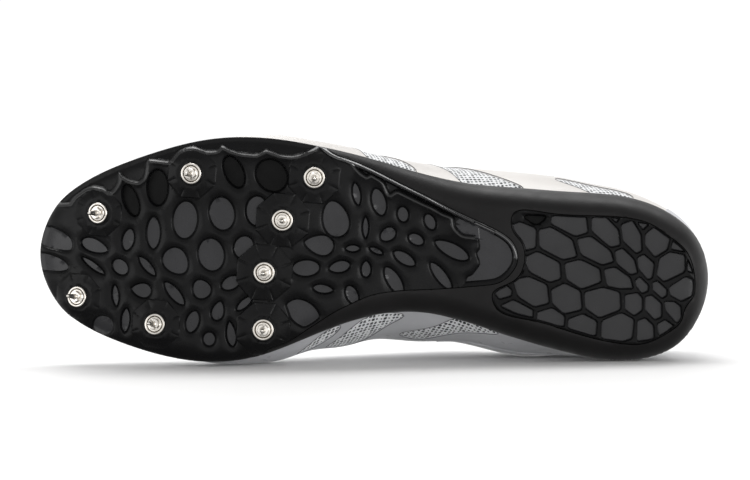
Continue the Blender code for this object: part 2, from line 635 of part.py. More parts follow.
def insole():
    around = inset(np.arange(72) / 72, FEATHER_INSET + WALL + 1.5)
    pts = inner_points(20.0, 9.0)
    return slab([around], [], lambda tag, x, y: sole_top(x) + GAP + 0.2,
                lambda x, y: sole_top(x) + GAP + INSOLE_THICK
                + 1.2 * np.exp(-np.clip(edge_distance(x, y) - 4.0, 0, None) / 3.0),
                pts, (), pts + inset(np.arange(60) / 60, 7.0).tolist())


# ----------------------------------------------------------------- the upper
def upper_ribs():
    knots, rows = [], []
    for side, x, out, rise, sx, sy, sz, ex, ey, ez in UPPER:
        knots.append(station(side, x))
        rows.append((out, rise, sx, sy, sz, ex, ey, ez))
    return closed_spline(knots, rows)


_ribs = upper_ribs()


def upper_surface(u, v):
    """Outer surface: u round the feather line, v from the sole to the opening."""
    u, v = np.broadcast_arrays(np.asarray(u, float), np.asarray(v, float))
    r = _ribs(u.ravel()).reshape(u.shape + (8,))
    f2 = inset(u, FEATHER_INSET)
    n = outward(u)
    fz = sole_top(f2[..., 0]) + GAP
    foot = np.stack([f2[..., 0], f2[..., 1], fz], -1)
    h1 = foot + np.stack([n[..., 0] * r[..., 0], n[..., 1] * r[..., 0], r[..., 1]], -1)
    h2, end = r[..., 2:5], r[..., 5:8]
    t = v[..., None]
    return ((1 - t) ** 3 * foot + 3 * t * (1 - t) ** 2 * h1
            + 3 * t * t * (1 - t) * h2 + t ** 3 * end)


def upper_normal(u, v):
    e = 0.004
    du = upper_surface(u + e, v) - upper_surface(u - e, v)
    lo, hi = np.clip(v - 0.01, 0, 1), np.clip(v + 0.01, 0, 1)
    dv = upper_surface(u, hi) - upper_surface(u, lo)
    n = np.cross(du, dv)
    return n / np.linalg.norm(n, axis=-1, keepdims=True)


def wall_at(u, v):
    """Wall thickness: thicker towards the padded collar."""
    edge = _ribs(np.asarray(u, float).ravel()).reshape(np.shape(u) + (8,))[..., 5]
    collar = 1.0 - smooth((edge - 85.0) / 30.0)
    return WALL + (COLLAR_WALL - WALL) * collar * smooth((np.asarray(v) - 0.45) / 0.45)


def upper_shell(nu=62, nv=12):
    u = np.arange(nu) / nu
    v = np.linspace(0, 1, nv) ** 1.05
    uu, vv = np.meshgrid(u, v, indexing="ij")
    outer = upper_surface(uu, vv)
    n = upper_normal(uu, vv)
    flat = n[:, 0].copy()
    flat[:, 2] = 0.0
    flat /= np.linalg.norm(flat, axis=1, keepdims=True)
    n[:, 0] = flat
    inner = outer - n * wall_at(uu, vv)[..., None]
    verts = np.concatenate([outer.reshape(-1, 3), inner.reshape(-1, 3)])
    faces = []
    off = nu * nv
    for i in range(nu):
        j = (i + 1) % nu
        for k in range(nv - 1):
            a, b, c, d = i * nv + k, j * nv + k, j * nv + k + 1, i * nv + k + 1
            faces.append((a, b, c, d))
            faces.append((off + a, off + d, off + c, off + b))
        faces.append((i * nv, off + i * nv, off + j * nv, j * nv))
        faces.append((i * nv + nv - 1, j * nv + nv - 1, off + j * nv + nv - 1, off + i * nv + nv - 1))
    return verts, faces


def roof(tree, x, y, down=True):
    """Height where an upright ray meets a surface, or None."""
    start, way = (Vector((x, y, 200)), Vector((0, 0, -1))) if down else (Vector((x, y, 44)), Vector((0, 0, 1)))
    hit = tree.ray_cast(start, way)
    return None if hit[0] is None else hit[0].z


def tongue_shape(tree):
    """Padded tongue that follows the underside of the eyestays."""
    count = 9
    rows = []
    for x, yc, half, drop, thick, crown in TONGUE:
        ys = np.linspace(-half, half, 25)
        limit = crown
        for dy in ys:
            z = roof(tree, x, yc + dy, down=False)
            if z is not None:
                limit = min(limit, z + drop * (dy / half) ** 2 - 1.0)
        rows.append((x, yc, half, drop, thick, limit))
    verts, faces = [], []
    for k, (x, yc, half, drop, thick, zc) in enumerate(rows):
        s = np.linspace(-1, 1, count)
        top = [(x, yc + half * q, zc - drop * q * q) for q in s]
        low = [(x, yc + half * q * 0.97, zc - drop * q * q - 0.35 - (thick - 0.35) * (1 - q ** 4)) for q in s[::-1]]
        verts += top + low
    n = 2 * count
    for k in range(len(rows) - 1):
        for i in range(n):
            j = (i + 1) % n
            faces.append((k * n + i, k * n + j, (k + 1) * n + j, (k + 1) * n + i))
    for base in (0, (len(rows) - 1) * n):
        for i in range(count - 1):
            a, b, c, d = base + i, base + i + 1, base + n - 2 - i, base + n - 1 - i
            faces.append((a, b, c, d))
    return verts, faces


def throat_edge(side, x):
    """y of the opening's edge beside the tongue."""
    rows = sorted((r[7], r[8]) for r in UPPER if r[0] == side and r[7] > 105)
    return float(np.interp(x, [r[0] for r in rows], [r[1] for r in rows]))


def lace_piece(tree, arms, x0, x1):
    """Flat straps joined where they cross, bowed over the tongue and eyestays."""
    xs = np.linspace(x1, x0, 5)
    y0, y1 = throat_edge("med", (x0 + x1) / 2), throat_edge("lat", (x0 + x1) / 2)
    ym, half = (y0 + y1) / 2, (y1 - y0) / 2 + EYELET_IN + 3
    grid = [(x, ym + half * q) for x in xs for q in np.linspace(-1, 1, 15)]
    pts = [(x, y, roof(tree, x, y)) for x, y in grid]
    pts = np.array([p for p in pts if p[2] is not None])
    a = np.stack([np.ones(len(pts)), pts[:, 0], pts[:, 1], (pts[:, 1] - ym) ** 2], 1)
    k, *_ = np.linalg.lstsq(a, pts[:, 2], rcond=None)
    lift = (pts[:, 2] - a @ k).max() + 0.8
    low = lambda tag, x, y: k[0] + k[1] * x + k[2] * y + k[3] * (y - ym) ** 2 + lift
    mid = [(x, ym) for x in xs]
    return slab_union(arms, low, LACE_THICK, mid)


def slab_union(arms, low, thick, points):
    """Slab over the plan of straps that cross one another."""
    if len(arms) == 1:
        return slab([arms[0]], [], low, lambda x, y: low(None, x, y) + thick, points, (), points)
    # the plan of an X: the straps' corners in turn round the crossing
    a, b = arms
    c = (a.mean(0) + b.mean(0)) / 2
    corners = np.concatenate([a, b])
    cross = []
    for i in range(4):
        for j in range(4):
            p, q = a[i], a[(i + 1) % 4]
            r, s = b[j], b[(j + 1) % 4]
            d = (q - p)[0] * (s - r)[1] - (q - p)[1] * (s - r)[0]
            if abs(d) < 1e-9:
                continue
            t = ((r - p)[0] * (s - r)[1] - (r - p)[1] * (s - r)[0]) / d
            w = ((r - p)[0] * (q - p)[1] - (r - p)[1] * (q - p)[0]) / d
            if 0 < t < 1 and 0 < w < 1:
                cross.append(p + (q - p) * t)
    ring = np.concatenate([corners, np.array(cross)])
    ang = np.arctan2(ring[:, 1] - c[1], ring[:, 0] - c[0])
    ring = ring[np.argsort(ang)]
    return slab([ring], [], low, lambda x, y: low(None, x, y) + thick, points, (), points)


def strap(p, q, width, shorten=0.0):
    p, q = np.array(p, float), np.array(q, float)
    d = (q - p) / np.linalg.norm(q - p)
    n = np.array([-d[1], d[0]]) * width / 2
    p, q = p + d * shorten, q - d * shorten
    return np.array([p - n, q - n, q + n, p + n])


# ---------------------------------------------------------------- the spikes
def turned(profile, count, flats=None):
    """Closed turned body round z from (radius, height) pairs; flats marks rings
    drawn with fewer, flat sides."""
    verts, faces = [], []
    rings = []
    for k, (r, h) in enumerate(profile):
        if r < 1e-6:
            rings.append([len(verts)])
            verts.append((0, 0, h))
            continue
        ring = []
        for i in range(count):
            a = 2 * math.pi * i / count
            rr = r
            if flats and k in flats:
                s = math.pi / 3
                rr = r / math.cos((a + s / 2) % s - s / 2) * math.cos(math.pi / 6) * 1.04
            ring.append(len(verts))
            verts.append((rr * math.cos(a), rr * math.sin(a), h))
        rings.append(ring)
    for a, b in zip(rings[:-1], rings[1:]):
        for i in range(count):
            j = (i + 1) % count
            if len(a) == 1:
                faces.append((a[0], b[i], b[j]))
            elif len(b) == 1:
                faces.append((a[i], b[0], a[j]))
            else:
                faces.append((a[i], b[i], b[j], a[j]))
    return verts, faces


SPIKE_PROFILE = [(0, -0.3), (3.05, -0.3), (3.05, -1.3), (2.75, -1.5), (2.55, -3.0),
                 (1.95, -3.3), (1.25, -5.4), (0.95, -5.7), (0.85, -8.4), (0.5, -9.0), (0, -9.1)]


def seat_ring(count=12):
    prof = [(3.45, -0.3), (4.4, -0.3), (4.4, -1.0), (4.15, -1.25), (3.45, -1.2)]
    verts, faces = [], []
    for r, h in prof:
        for i in range(count):
            a = 2 * math.pi * i / count
            verts.append((r * math.cos(a), r * math.sin(a), h))
    n = len(prof)
    for k in range(n):
        m = (k + 1) % n
        for i in range(count):
            j = (i + 1) % count
            faces.append((k * count + i, m * count + i, m * count + j, k * count + j))
    return verts, faces


# ------------------------------------------------------------------ assembly
def main():
    for ob in list(bpy.data.objects):
        bpy.data.objects.remove(ob, do_unlink=True)

    film = material("film_over_mesh", (0.76, 0.73, 0.69), 0.35)
    padding = material("padded_fabric", (0.70, 0.69, 0.68), 0.8)
    lining = material("insole_fabric", (0.08, 0.08, 0.085), 0.85)
    foam = material("midsole_foam", (0.015, 0.015, 0.016), 0.55)
    hard = material("plate_plastic", (0.02, 0.02, 0.021), 0.35)
    rubber = material("heel_rubber", (0.03, 0.03, 0.031), 0.5)
    steel = material("spike_steel", (0.8, 0.79, 0.77), 0.25, 1.0)
    cord = material("lace_cord", (0.85, 0.85, 0.85), 0.7)

    shoe = bpy.data.objects.new("lying_shoe", None)
    bpy.context.scene.collection.objects.link(shoe)

    made = []
    made.append(add_object("upper", *upper_shell(), film, shoe))
    made.append(add_object("midsole", *midsole(), foam, shoe))
    made.append(add_object("spike_plate", *spike_plate(), hard, shoe, False))
    made.append(add_object("heel_outsole", *heel_outsole(), rubber, shoe, False))
    made.append(add_object("insole", *insole(), lining, shoe))

    uv, uf = upper_shell(80, 16)
    tree = BVHTree.FromPolygons([Vector(p) for p in uv], uf)
    tv, tf = tongue_shape(tree)
    made.append(add_object("tongue", tv, tf, padding, shoe))
    both = BVHTree.FromPolygons([Vector(p) for p in uv] + [Vector(p) for p in tv],
                                list(uf) + [tuple(i + len(uv) for i in f) for f in tf])
    rows = [((x, throat_edge("med", x) - EYELET_IN), (x, throat_edge("lat", x) + EYELET_IN)) for x in EYELETS]
    m0, l0 = rows[0]
    made.append(add_object("lace_bar_1", *lace_piece(both, [strap((m0[0] + 3.2, m0[1]), (l0[0] + 3.2, l0[1]), LACE_WIDTH)],
                                                     m0[0] + 5.5, m0[0] + 0.9), cord, shoe))
    for k in range(len(rows) - 1):
        (ma, la), (mb, lb) = rows[k], rows[k + 1]
        dx = 2.6
        arms = [strap((ma[0] - dx, ma[1]), (lb[0] + dx, lb[1]), 3.4), strap((la[0] - dx, la[1]), (mb[0] + dx, mb[1]), 3.4)]
        made.append(add_object("lace_cross_%d" % (k + 1), *lace_piece(both, arms, ma[0], mb[0]), cord, shoe))

    sv, sf = turned(SPIKE_PROFILE, 12, flats={3, 4})
    rv, rf = seat_ring()
    for k, (x, y, radius, lean) in enumerate(SPIKES):
        slope = float(ground(x + 0.5) - ground(x - 0.5))
        turn = Matrix.Rotation(-math.atan(slope), 4, "Y") @ Matrix.Rotation(math.radians(lean), 4, "X")
        place = Matrix.Translation(Vector((x, y, float(ground(x)) - BOSS_RISE)) * MM) @ turn
        for name, v, f in (("spike_seat_%d", rv, rf), ("spike_%d", sv, sf)):
            ob = add_object(name % (k + 1), v, f, steel, shoe)
            ob.matrix_local = place
            made.append(ob)

    # lie the shoe on its medial side: heel-toe to -X, height to +Y, lateral up
    upright = Matrix(((-1, 0, 0), (0, 0, 1), (0, 1, 0))).to_4x4()
    turn = Matrix.Rotation(math.radians(LIE_TURN), 4, "Y")
    roll = Matrix.Rotation(math.radians(-LIE_ROLL), 4, "X")
    lie = roll @ turn @ upright
    shoe.matrix_world = lie
    bpy.context.view_layer.update()
    corners = np.concatenate([np.array([ob.matrix_world @ v.co for v in ob.data.vertices]) for ob in made])
    lo, hi = corners.min(0), corners.max(0)
    shoe.matrix_world = Matrix.Translation((-(lo[0] + hi[0]) / 2, -(lo[1] + hi[1]) / 2, -lo[2])) @ lie
    bpy.context.view_layer.update()


main()
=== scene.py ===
import math

import bpy
import bmesh
import numpy as np
from mathutils import Matrix, Vector
from mathutils.bvhtree import BVHTree
from mathutils.geometry import delaunay_2d_cdt

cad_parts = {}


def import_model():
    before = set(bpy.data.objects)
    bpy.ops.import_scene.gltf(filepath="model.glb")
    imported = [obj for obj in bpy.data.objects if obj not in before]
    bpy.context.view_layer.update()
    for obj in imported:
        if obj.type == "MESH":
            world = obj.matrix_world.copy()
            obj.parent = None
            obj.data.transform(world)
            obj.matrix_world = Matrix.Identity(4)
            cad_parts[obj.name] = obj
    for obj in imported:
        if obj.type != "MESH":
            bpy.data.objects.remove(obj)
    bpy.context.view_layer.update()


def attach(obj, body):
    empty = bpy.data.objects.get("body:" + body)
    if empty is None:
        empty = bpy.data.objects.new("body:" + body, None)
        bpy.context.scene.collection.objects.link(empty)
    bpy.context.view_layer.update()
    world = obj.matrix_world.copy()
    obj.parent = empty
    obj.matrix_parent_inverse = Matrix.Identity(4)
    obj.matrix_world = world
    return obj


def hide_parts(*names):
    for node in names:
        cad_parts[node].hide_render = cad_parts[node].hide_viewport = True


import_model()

MM = 0.001

# The shoe is drawn upright in millimetres: x from heel to toe, y to the lateral
# side, z up from the sole. This lays it on its medial side, as the solids lie.
LIE_TURN, LIE_ROLL = 4.97, -0.56
LIE_SHIFT = (0.141075, -0.043954, 0.031176)
LIE = (Matrix.Translation(LIE_SHIFT) @ Matrix.Rotation(math.radians(-LIE_ROLL), 4, "X")
       @ Matrix.Rotation(math.radians(LIE_TURN), 4, "Y")
       @ Matrix(((-1, 0, 0), (0, 0, 1), (0, 1, 0))).to_4x4())
LIE_NP = np.array(LIE)


def world(p):
    p = np.asarray(p, float)
    return p * MM @ LIE_NP[:3, :3].T + LIE_NP[:3, 3]


# ---------------------------------------------------------------- sole sizes
HEEL_TIP = (-1.2, 1.0)
TOE_TIP = (284.6, -8.0)
# plan of the whole sole: x, lateral edge, medial edge
SOLE = [
    (4, 18.3, -18.6), (12, 26.2, -27.7), (24, 32.2, -33.0), (40, 35.3, -34.8),
    (60, 35.4, -32.1), (82, 35.4, -27.5), (104, 35.8, -22.2), (126, 39.0, -20.5),
    (148, 43.7, -25.7), (168, 46.9, -34.8), (186, 48.6, -43.1), (204, 48.0, -47.2),
    (220, 44.9, -47.4), (236, 39.4, -45.1), (250, 33.4, -41.7), (262, 27.1, -37.5),
    (272, 20.0, -31.7), (279, 12.2, -23.9),
]
ARCH_FROM, ARCH_TO, ARCH_RISE = 68.8, 173.0, 3.44
SPRING_FROM, SPRING_LENGTH, SPRING_RISE, SPRING_POWER = 181.9, 98.3, 26.54, 1.9
BEVEL_FROM, BEVEL_RISE = 13.8, 2.0
HEEL_STACK, BALL_STACK = 15.0, 6.4
STACK_FROM, STACK_TO = 55.0, 185.0
EDGE_WIDTH = 9.5
PLATE_THICK = 4.2
PAD_THICK = 4.0
WEB_DEPTH, DEEP_DEPTH = 2.0, 2.9
CELL_DEPTH = 1.7

PLATE_LATERAL = [(174, 52), (163, 45.2), (155, 42.3), (143.5, 38.4), (132, 33.6),
                 (120.5, 29.0), (111, 24.9), (98, 20.0), (89, 16.4)]
PLATE_END = [(84.6, 13.6), (82.3, 10.6), (81.1, 7.0), (81.3, 3.6), (83.4, -0.4),
             (87.4, -4.2)]
PLATE_MEDIAL = [(92.5, -5.9), (99, -7.0), (111, -8.9), (125.5, -10.6), (133.5, -11.9),
                (141, -13.8), (148, -17.3), (155, -21.3), (161, -25.6), (168, -31.0),
                (175, -36.2), (184, -41.0), (193, -50)]
WEB_END = [(99.5, 24), (98.2, 13.8), (97.4, 8.6), (98.5, 7.9), (98.6, 6.4), (96.9, 3.1),
           (97.2, 1.9), (98.9, -0.6), (99.9, -2.2), (101.3, -2.5), (102.3, -3.9),
           (102.7, -12), (72, -12), (72, 24)]
# windows of the web: x, y, half length, half width, turn (degrees), taper, point, depth; deep windows also get a
# near-black floor of painted shade
WINDOWS = [
    (234.5, 24.3, 7.9, 4.8, 86, 0.0, 0.0, "deep"), (245.7, 17.9, 7.2, 3.5, 66, 0.0, 0.0, "deep"),
    (202.5, 33.5, 7.4, 4.2, 61, 0.0, 0.0, "deep"), (186.6, 33.2, 7.6, 6.6, 46, 0.0, 0.0, "deep"),
    (260.1, -2.7, 6.6, 3.3, 15, -0.2, 0.1, "floor"), (245.6, 1.3, 5.2, 3.0, 99, 0.0, 0.1, "floor"),
    (234.9, 5.1, 7.3, 3.4, 87, 0.0, 0.1, "floor"), (221.7, 11.7, 8.4, 5.7, 91, 0.0, 0.0, "floor"),
    (206.3, 15.6, 7.5, 5.8, 76, 0.0, 0.0, "floor"), (191.6, 17.9, 6.7, 5.1, 86, 0.0, 0.0, "floor"),
    (196.1, 2.2, 5.3, 4.6, 106, 0.0, 0.0, "floor"), (209.6, -2.0, 7.4, 6.0, 76, 0.0, 0.0, "floor"),
    (224.4, -6.1, 6.5, 5.6, 45, -0.15, 0.0, "floor"), (236.6, -9.2, 5.7, 2.2, 44, 0.0, 0.15, "floor"),
    (248.2, -10.6, 4.3, 3.5, 39, 0.0, 0.0, "floor"), (260.1, -11.2, 6.7, 1.8, 31, 0.0, 0.2, "floor"),
    (249.4, -22.9, 5.0, 1.9, 81, 0.0, 0.2, "floor"), (238.4, -19.6, 4.8, 3.5, 4, 0.25, 0.1, "floor"),
    (224.1, -19.7, 6.7, 2.7, 45, 0.0, 0.15, "floor"), (212.7, -16.8, 4.6, 4.3, 55, 0.15, 0.0, "floor"),
    (200.4, -13.2, 4.8, 3.2, -32, 0.0, 0.1, "floor"), (205.0, -25.4, 4.6, 3.0, 101, 0.2, 0.1, "floor"),
    (194.1, -21.4, 4.7, 2.1, -46, 0.0, 0.1, "floor"), (215.5, -30.9, 5.2, 3.2, 103, 0.0, 0.1, "floor"),
    (244.3, -33.0, 5.7, 2.3, 91, 0.0, 0.2, "floor"), (253.9, -36.1, 5.1, 4.7, -6, 0.0, 0.0, "floor"),
    (207.9, -37.6, 3.4, 3.1, 86, 0.0, 0.0, "floor"), (198.8, -34.6, 5.8, 2.4, 78, 0.2, 0.2, "floor"),
    (158.5, 17.0, 8.2, 5.9, 71, 0.15, 0.0, "floor"), (164.6, 5.6, 6.7, 4.6, 6, 0.3, 0.1, "floor"),
    (169.3, -4.6, 6.2, 3.9, -7, 0.0, 0.0, "floor"), (155.3, -3.0, 5.0, 2.9, -16, 0.1, 0.15, "floor"),
    (144.1, -3.2, 3.9, 2.5, 86, 0.1, 0.15, "floor"), (150.3, 5.1, 3.5, 1.9, -4, 0.0, 0.15, "floor"),
    (140.4, 4.8, 3.5, 1.6, 21, 0.0, 0.15, "floor"), (161.5, -12.8, 4.8, 2.3, 4, -0.1, 0.2, "floor"),
    (149.2, -14.4, 4.6, 2.9, 61, 0.0, 0.0, "floor"), (145.6, 14.3, 5.1, 1.7, 86, 0.0, 0.25, "floor"),
    (150.4, 28.1, 5.3, 2.1, 76, 0.0, 0.2, "floor"), (140.8, 25.4, 6.3, 3.4, 71, 0.0, 0.1, "floor"),
    (136.0, 12.0, 4.0, 3.2, -39, 0.1, 0.0, "floor"), (130.3, 20.9, 3.7, 2.8, 76, 0.0, 0.0, "floor"),
    (118.7, 18.6, 4.0, 2.7, 61, 0.0, 0.1, "floor"), (124.0, 10.8, 3.9, 2.7, 24, 0.0, 0.0, "floor"),
    (108.7, 7.4, 8.4, 3.3, 23, 0.1, 0.1, "floor"), (128.3, 2.4, 5.7, 2.8, 28, 0.0, 0.15, "floor"),
    (132.0, -7.3, 7.2, 3.2, 54, 0.0, 0.1, "floor"), (112.4, -3.8, 7.6, 2.7, 48, 0.0, 0.1, "floor"),
]
# scalloped end of the web along the toe and the lateral side, and the shelf past it
SCALLOP = [
    (272.8, 13.8), (270.7, 17.3), (268.3, 19.4), (265.7, 21.4), (262.7, 22.4), (258.2, 22.0),
    (254.9, 20.3), (253.1, 22.2), (251.4, 25.3), (252.0, 29.7), (249.8, 27.6), (247.0, 26.2),
    (242.8, 25.8), (240.2, 28.4), (239.9, 35.8), (236.2, 35.8), (230.0, 35.5), (228.2, 38.2),
    (226.7, 40.2), (223.5, 42.0), (220.2, 42.7), (214.9, 41.1), (210.3, 41.6), (208.3, 44.2),
    (204.8, 42.3), (200.5, 41.4), (193.4, 41.3), (189.7, 43.7), (188.0, 43.1), (183.2, 41.8),
    (178.2, 41.8), (173.3, 43.5), (168.4, 46.5), (160, 60), (300, 60), (300, 14),
]
SHELF = [
    (158.2, 44.1), (152.9, 41.0), (149.7, 37.5), (146.7, 35.7), (145.0, 37.1), (139.7, 34.3),
    (136.8, 28.4), (133.7, 30.9), (128.4, 28.8), (123.1, 26.7), (118.5, 24.9), (113.6, 22.7),
    (109.2, 21.4), (108.5, 17.2), (104.9, 14.1), (99.2, 13.8), (92, 13.8), (92, 40), (120, 60),
    (165, 60),
]
SCALLOP_DEPTH, SHELF_DEPTH = 1.8, 1.3
CORNERED = [
    [(286, 3), (279.6, 4.4), (270.8, 0.6), (269.1, -3.6), (270.6, -6.9), (286, -5.4)],
    [(286, -7.6), (279.7, -7.6), (273.2, -9.6), (270.3, -12.4), (271.0, -14.5),
     (274.8, -15.8), (286, -16)],
    [(177.2, -20.4), (175.0, -18.3), (172.1, -17.2), (168.3, -17.8), (164.8, -19.7),
     (162.5, -22.3), (161.4, -25.0), (165.0, -28.0), (168.4, -30.2), (171.7, -28.7),
     (174.4, -26.6), (175.9, -23.1)],
]
# spikes: x, y, boss radius, lean towards the medial side (degrees)
SPIKES = [
    (265.7, -24.9, 9.5, 4.0), (231.1, -33.2, 10.0, 5.5), (185.3, -31.6, 11.0, 1.0),
    (186.6, -7.6, 11.5, 0.0), (180.6, 14.9, 11.0, 0.0), (259.1, 11.5, 9.5, 0.0),
    (220.2, 31.5, 10.0, -1.5), (168.6, 33.7, 10.5, -1.5),
]
BOSS_RISE, BOSS_SEAT, BOSS_STEP = 1.5, 5.2, 0.35
PAD = [(84, 24.6), (69.7, 26.0), (45, 26.5), (34, 26.2), (26, 24.4), (18.3, 20.0),
       (11.1, 14.9), (7.6, 9.0), (5.9, 2), (6.2, -4.6), (9.2, -9.5), (10.4, -15.0),
       (15, -19.8), (20.7, -23.6), (27, -26.0), (35.3, -26.2), (44, -25.3),
       (57, -22.7), (72, -19.4), (86.6, -16.6), (89.6, -13.0), (90, -9.2), (84.3, -5.2),
       (79.6, -1.2), (78.0, 3.4), (77.9, 8.4), (80, 13.4), (83.6, 17.6)]
# floors of the heel pad's cells, corner by corner
CELLS = [
    [(72.8, 18.7), (68, 20.1), (58.7, 15.5), (56.3, 8.8), (61.9, 7.2), (71.9, 11.5)],
    [(68.1, 24.8), (53.6, 25.7), (52.5, 19.2), (57.5, 17.4), (68, 21.9)],
    [(51, 25.4), (45.3, 25.9), (39.8, 21.1), (38.6, 14.9), (42.3, 13.9), (50.6, 20)],
    [(43.2, 26.1), (39.5, 26.3), (40.7, 24.4)],
    [(38.5, 23.5), (34.1, 25.4), (30.3, 20), (29.4, 13.2), (31.3, 12.1), (37.1, 16.8)],
    [(31.7, 24.8), (27.2, 24.5), (29.3, 22.2)],
    [(28, 20.2), (24.7, 23.3), (17.9, 19.5), (18.7, 14.6), (23.4, 11.1), (27.7, 15.7)],
    [(16.5, 18.7), (11, 14), (16.9, 15)],
    [(21.2, 10.5), (17.4, 13.3), (11.2, 12.7), (10.5, 5.9), (18.9, 1.1), (21.9, 3.5)],
    [(10, 11), (6.9, 5.2), (9.2, 6.3)],
    [(16.4, -1.5), (9.8, 3.5), (6.7, 2.5), (6.2, -3.8), (10.9, -6.5), (15.4, -4.5)],
    [(56.5, 16), (51, 17.5), (42.3, 11.9), (40.7, 7.9), (45.2, 6.2), (54.3, 9.8)],
    [(40.2, 12.1), (37.4, 13.5), (32.2, 9.1), (30.4, 3.8), (33, 3), (38.9, 7.1)],
    [(30.6, 10.1), (28.3, 11.6), (23.7, 8.2), (24.2, 2.2), (25.5, 1.4), (29.6, 5.6)],
    [(78.2, 6.5), (72.9, 9.5), (63.3, 5.5), (62.4, -1), (66.6, -2.7), (75.4, 1)],
    [(60.9, 5.4), (54.7, 7.4), (46.3, 4.1), (45.3, -1), (53.2, -4.6), (59.5, -1.1)],
    [(44.2, 4.2), (39.9, 5.3), (33.3, 1.4), (31.7, -2.7), (37.3, -3.1), (42.3, -2.6)],
    [(30.8, 0.4), (29.3, 2), (25.4, -1.3), (25.5, -3.4), (27.6, -4.5), (29.9, -1.9)],
    [(23.4, 0.1), (21.7, 0.8), (17.5, -2.5), (17.6, -4.8), (19, -5.9), (22.9, -2.9)],
    [(82, -3.1), (75.7, -1.4), (67.9, -4.1), (66.5, -11.6), (72.4, -13.5), (79.4, -9.7)],
    [(65.7, -6.1), (60.4, -3), (53.7, -5.7), (52.5, -13.3), (59.8, -15.5), (64.7, -11.6)],
    [(51.7, -6.1), (44.2, -3.6), (37.1, -5), (36.3, -12.1), (44.8, -16.1), (50.8, -12.5)],
    [(34.6, -5.9), (29.4, -4.8), (27.6, -6.7), (27.3, -11.7), (30.2, -14.1), (34.1, -11.7)],
    [(26, -6), (23.6, -5.3), (19.4, -8.4), (19, -13.9), (21.3, -15.2), (25.6, -11.4)],
    [(17.9, -7.5), (13.8, -7.4), (11.2, -9.1), (10.5, -14.5), (11.9, -16), (16.8, -11.3)],
    [(20.1, -17.2), (17.1, -15.2), (13.3, -17.3), (19, -22)],
    [(89.2, -9.4), (84.7, -5.6), (82.5, -7.6), (82.5, -9.6), (87.3, -11.4)],
    [(86.6, -14.3), (81.4, -11.6), (72.9, -15.3), (72.7, -18), (80, -16.7)],
    [(70.9, -16.1), (64.9, -13.7), (59.4, -16.8), (59.3, -21), (70.8, -19)],
    [(57.6, -18), (51.8, -15.3), (45.8, -17.9), (45.6, -24), (57.6, -21.3)],
    [(43.5, -17.5), (35.6, -13.6), (30.3, -15.9), (30.6, -23.8), (34.1, -25.2), (43.2, -24.7)],
    [(28.5, -16.4), (25.6, -15.1), (22, -17.9), (21.3, -23.2), (28.1, -24.9)],
    [(84.5, 19.8), (81.1, 21.3), (74.2, 19.1), (73.9, 11.1), (79.2, 9.6), (80.2, 14.5)],
    [(79.4, 2.5), (78.1, 0.5), (80.4, 0)],
]
CELL_GROW = 0.4
PAD_NOTCH = [(81.6, 24.5), (69.8, 25.2), (70.6, 22.8), (74.3, 19.9)]

# --------------------------------------------------------------- upper sizes
WALL, COLLAR_WALL = 1.8, 3.0
FEATHER_INSET = 0.9
GAP = 0.3
UPPER = [
    ("toe", 284.6, 1.0, 14.5, 239, -1, 54.0, 187, 1.0, 60.5),
    ("lat", 272, 0.6, 14.5, 233, 15, 53.0, 186.4, 4.7, 60.3),
    ("lat", 250, 0.8, 16.5, 222, 28, 51.5, 184, 7.7, 60.4),
    ("lat", 226, 1.2, 18.5, 206, 35, 52.0, 180.5, 9.4, 61.2),
    ("lat", 200, 5.2, 20.5, 188, 39, 55.5, 174, 10.1, 63.6),
    ("lat", 176, 4.2, 22.5, 171, 38, 60.0, 163, 10.5, 68.2),
    ("lat", 152, 7.0, 23.5, 150, 38, 66.0, 148, 11.0, 75.2),
    ("lat", 130, 10.5, 22.0, 130, 40, 70.0, 132, 11.6, 82.6),
    ("lat", 110, 13.0, 21.0, 113, 41.5, 74.0, 115, 13.0, 89.5),
    ("lat", 92, 13.0, 20.0, 97, 42.5, 67.0, 99, 22.0, 83.0),
    ("lat", 74, 11.5, 18.0, 77, 42.5, 53.0, 80, 31.5, 68.5),
    ("lat", 56, 8.0, 17.0, 57, 41.0, 48.0, 58, 33.5, 61.5),
    ("lat", 36, 4.0, 18.0, 37, 37.0, 50.0, 38, 30.0, 62.5),
    ("lat", 16, 2.5, 19.0, 17.0, 27.0, 54.0, 20, 21.0, 68.0),
    ("heel", -1.2, 3.5, 22.0, -1.5, 1, 58.0, 6.5, 1.0, 75.0),
    ("med", 16, 2.5, 19.0, 17.0, -27.0, 55.0, 20, -20.5, 69.5),
    ("med", 36, 1.5, 18.0, 37, -34.2, 52.0, 38, -30.0, 65.0),
    ("med", 56, 5.6, 17.0, 57, -36.6, 50.0, 58, -34.0, 64.0),
    ("med", 74, 12.0, 18.0, 77, -42.0, 55.0, 80, -31.5, 70.0),
    ("med", 92, 17.0, 19.0, 97, -38.5, 68.0, 99, -21.0, 85.0),
    ("med", 110, 22.0, 20.0, 113, -40.0, 75.0, 115, -11.0, 90.5),
    ("med", 130, 22.5, 22.0, 130, -41.0, 70.0, 132, -9.6, 83.0),
    ("med", 152, 19.0, 23.0, 150, -43.0, 64.0, 148, -9.0, 75.6),
    ("med", 176, 15.0, 14.0, 171, -41.5, 56.0, 163, -8.5, 68.6),
    ("med", 200, 10.0, 12.5, 188, -40.0, 50.0, 174, -8.1, 63.9),
    ("med", 226, 3.2, 13.0, 206, -38.0, 51.0, 180.5, -7.2, 61.3),
    ("med", 250, 1.0, 15.5, 222, -31.0, 50.5, 184, -5.4, 60.5),
    ("med", 272, 0.6, 14.0, 233, -17.0, 52.5, 186.4, -2.4, 60.4),
]
INSOLE_THICK = 3.0
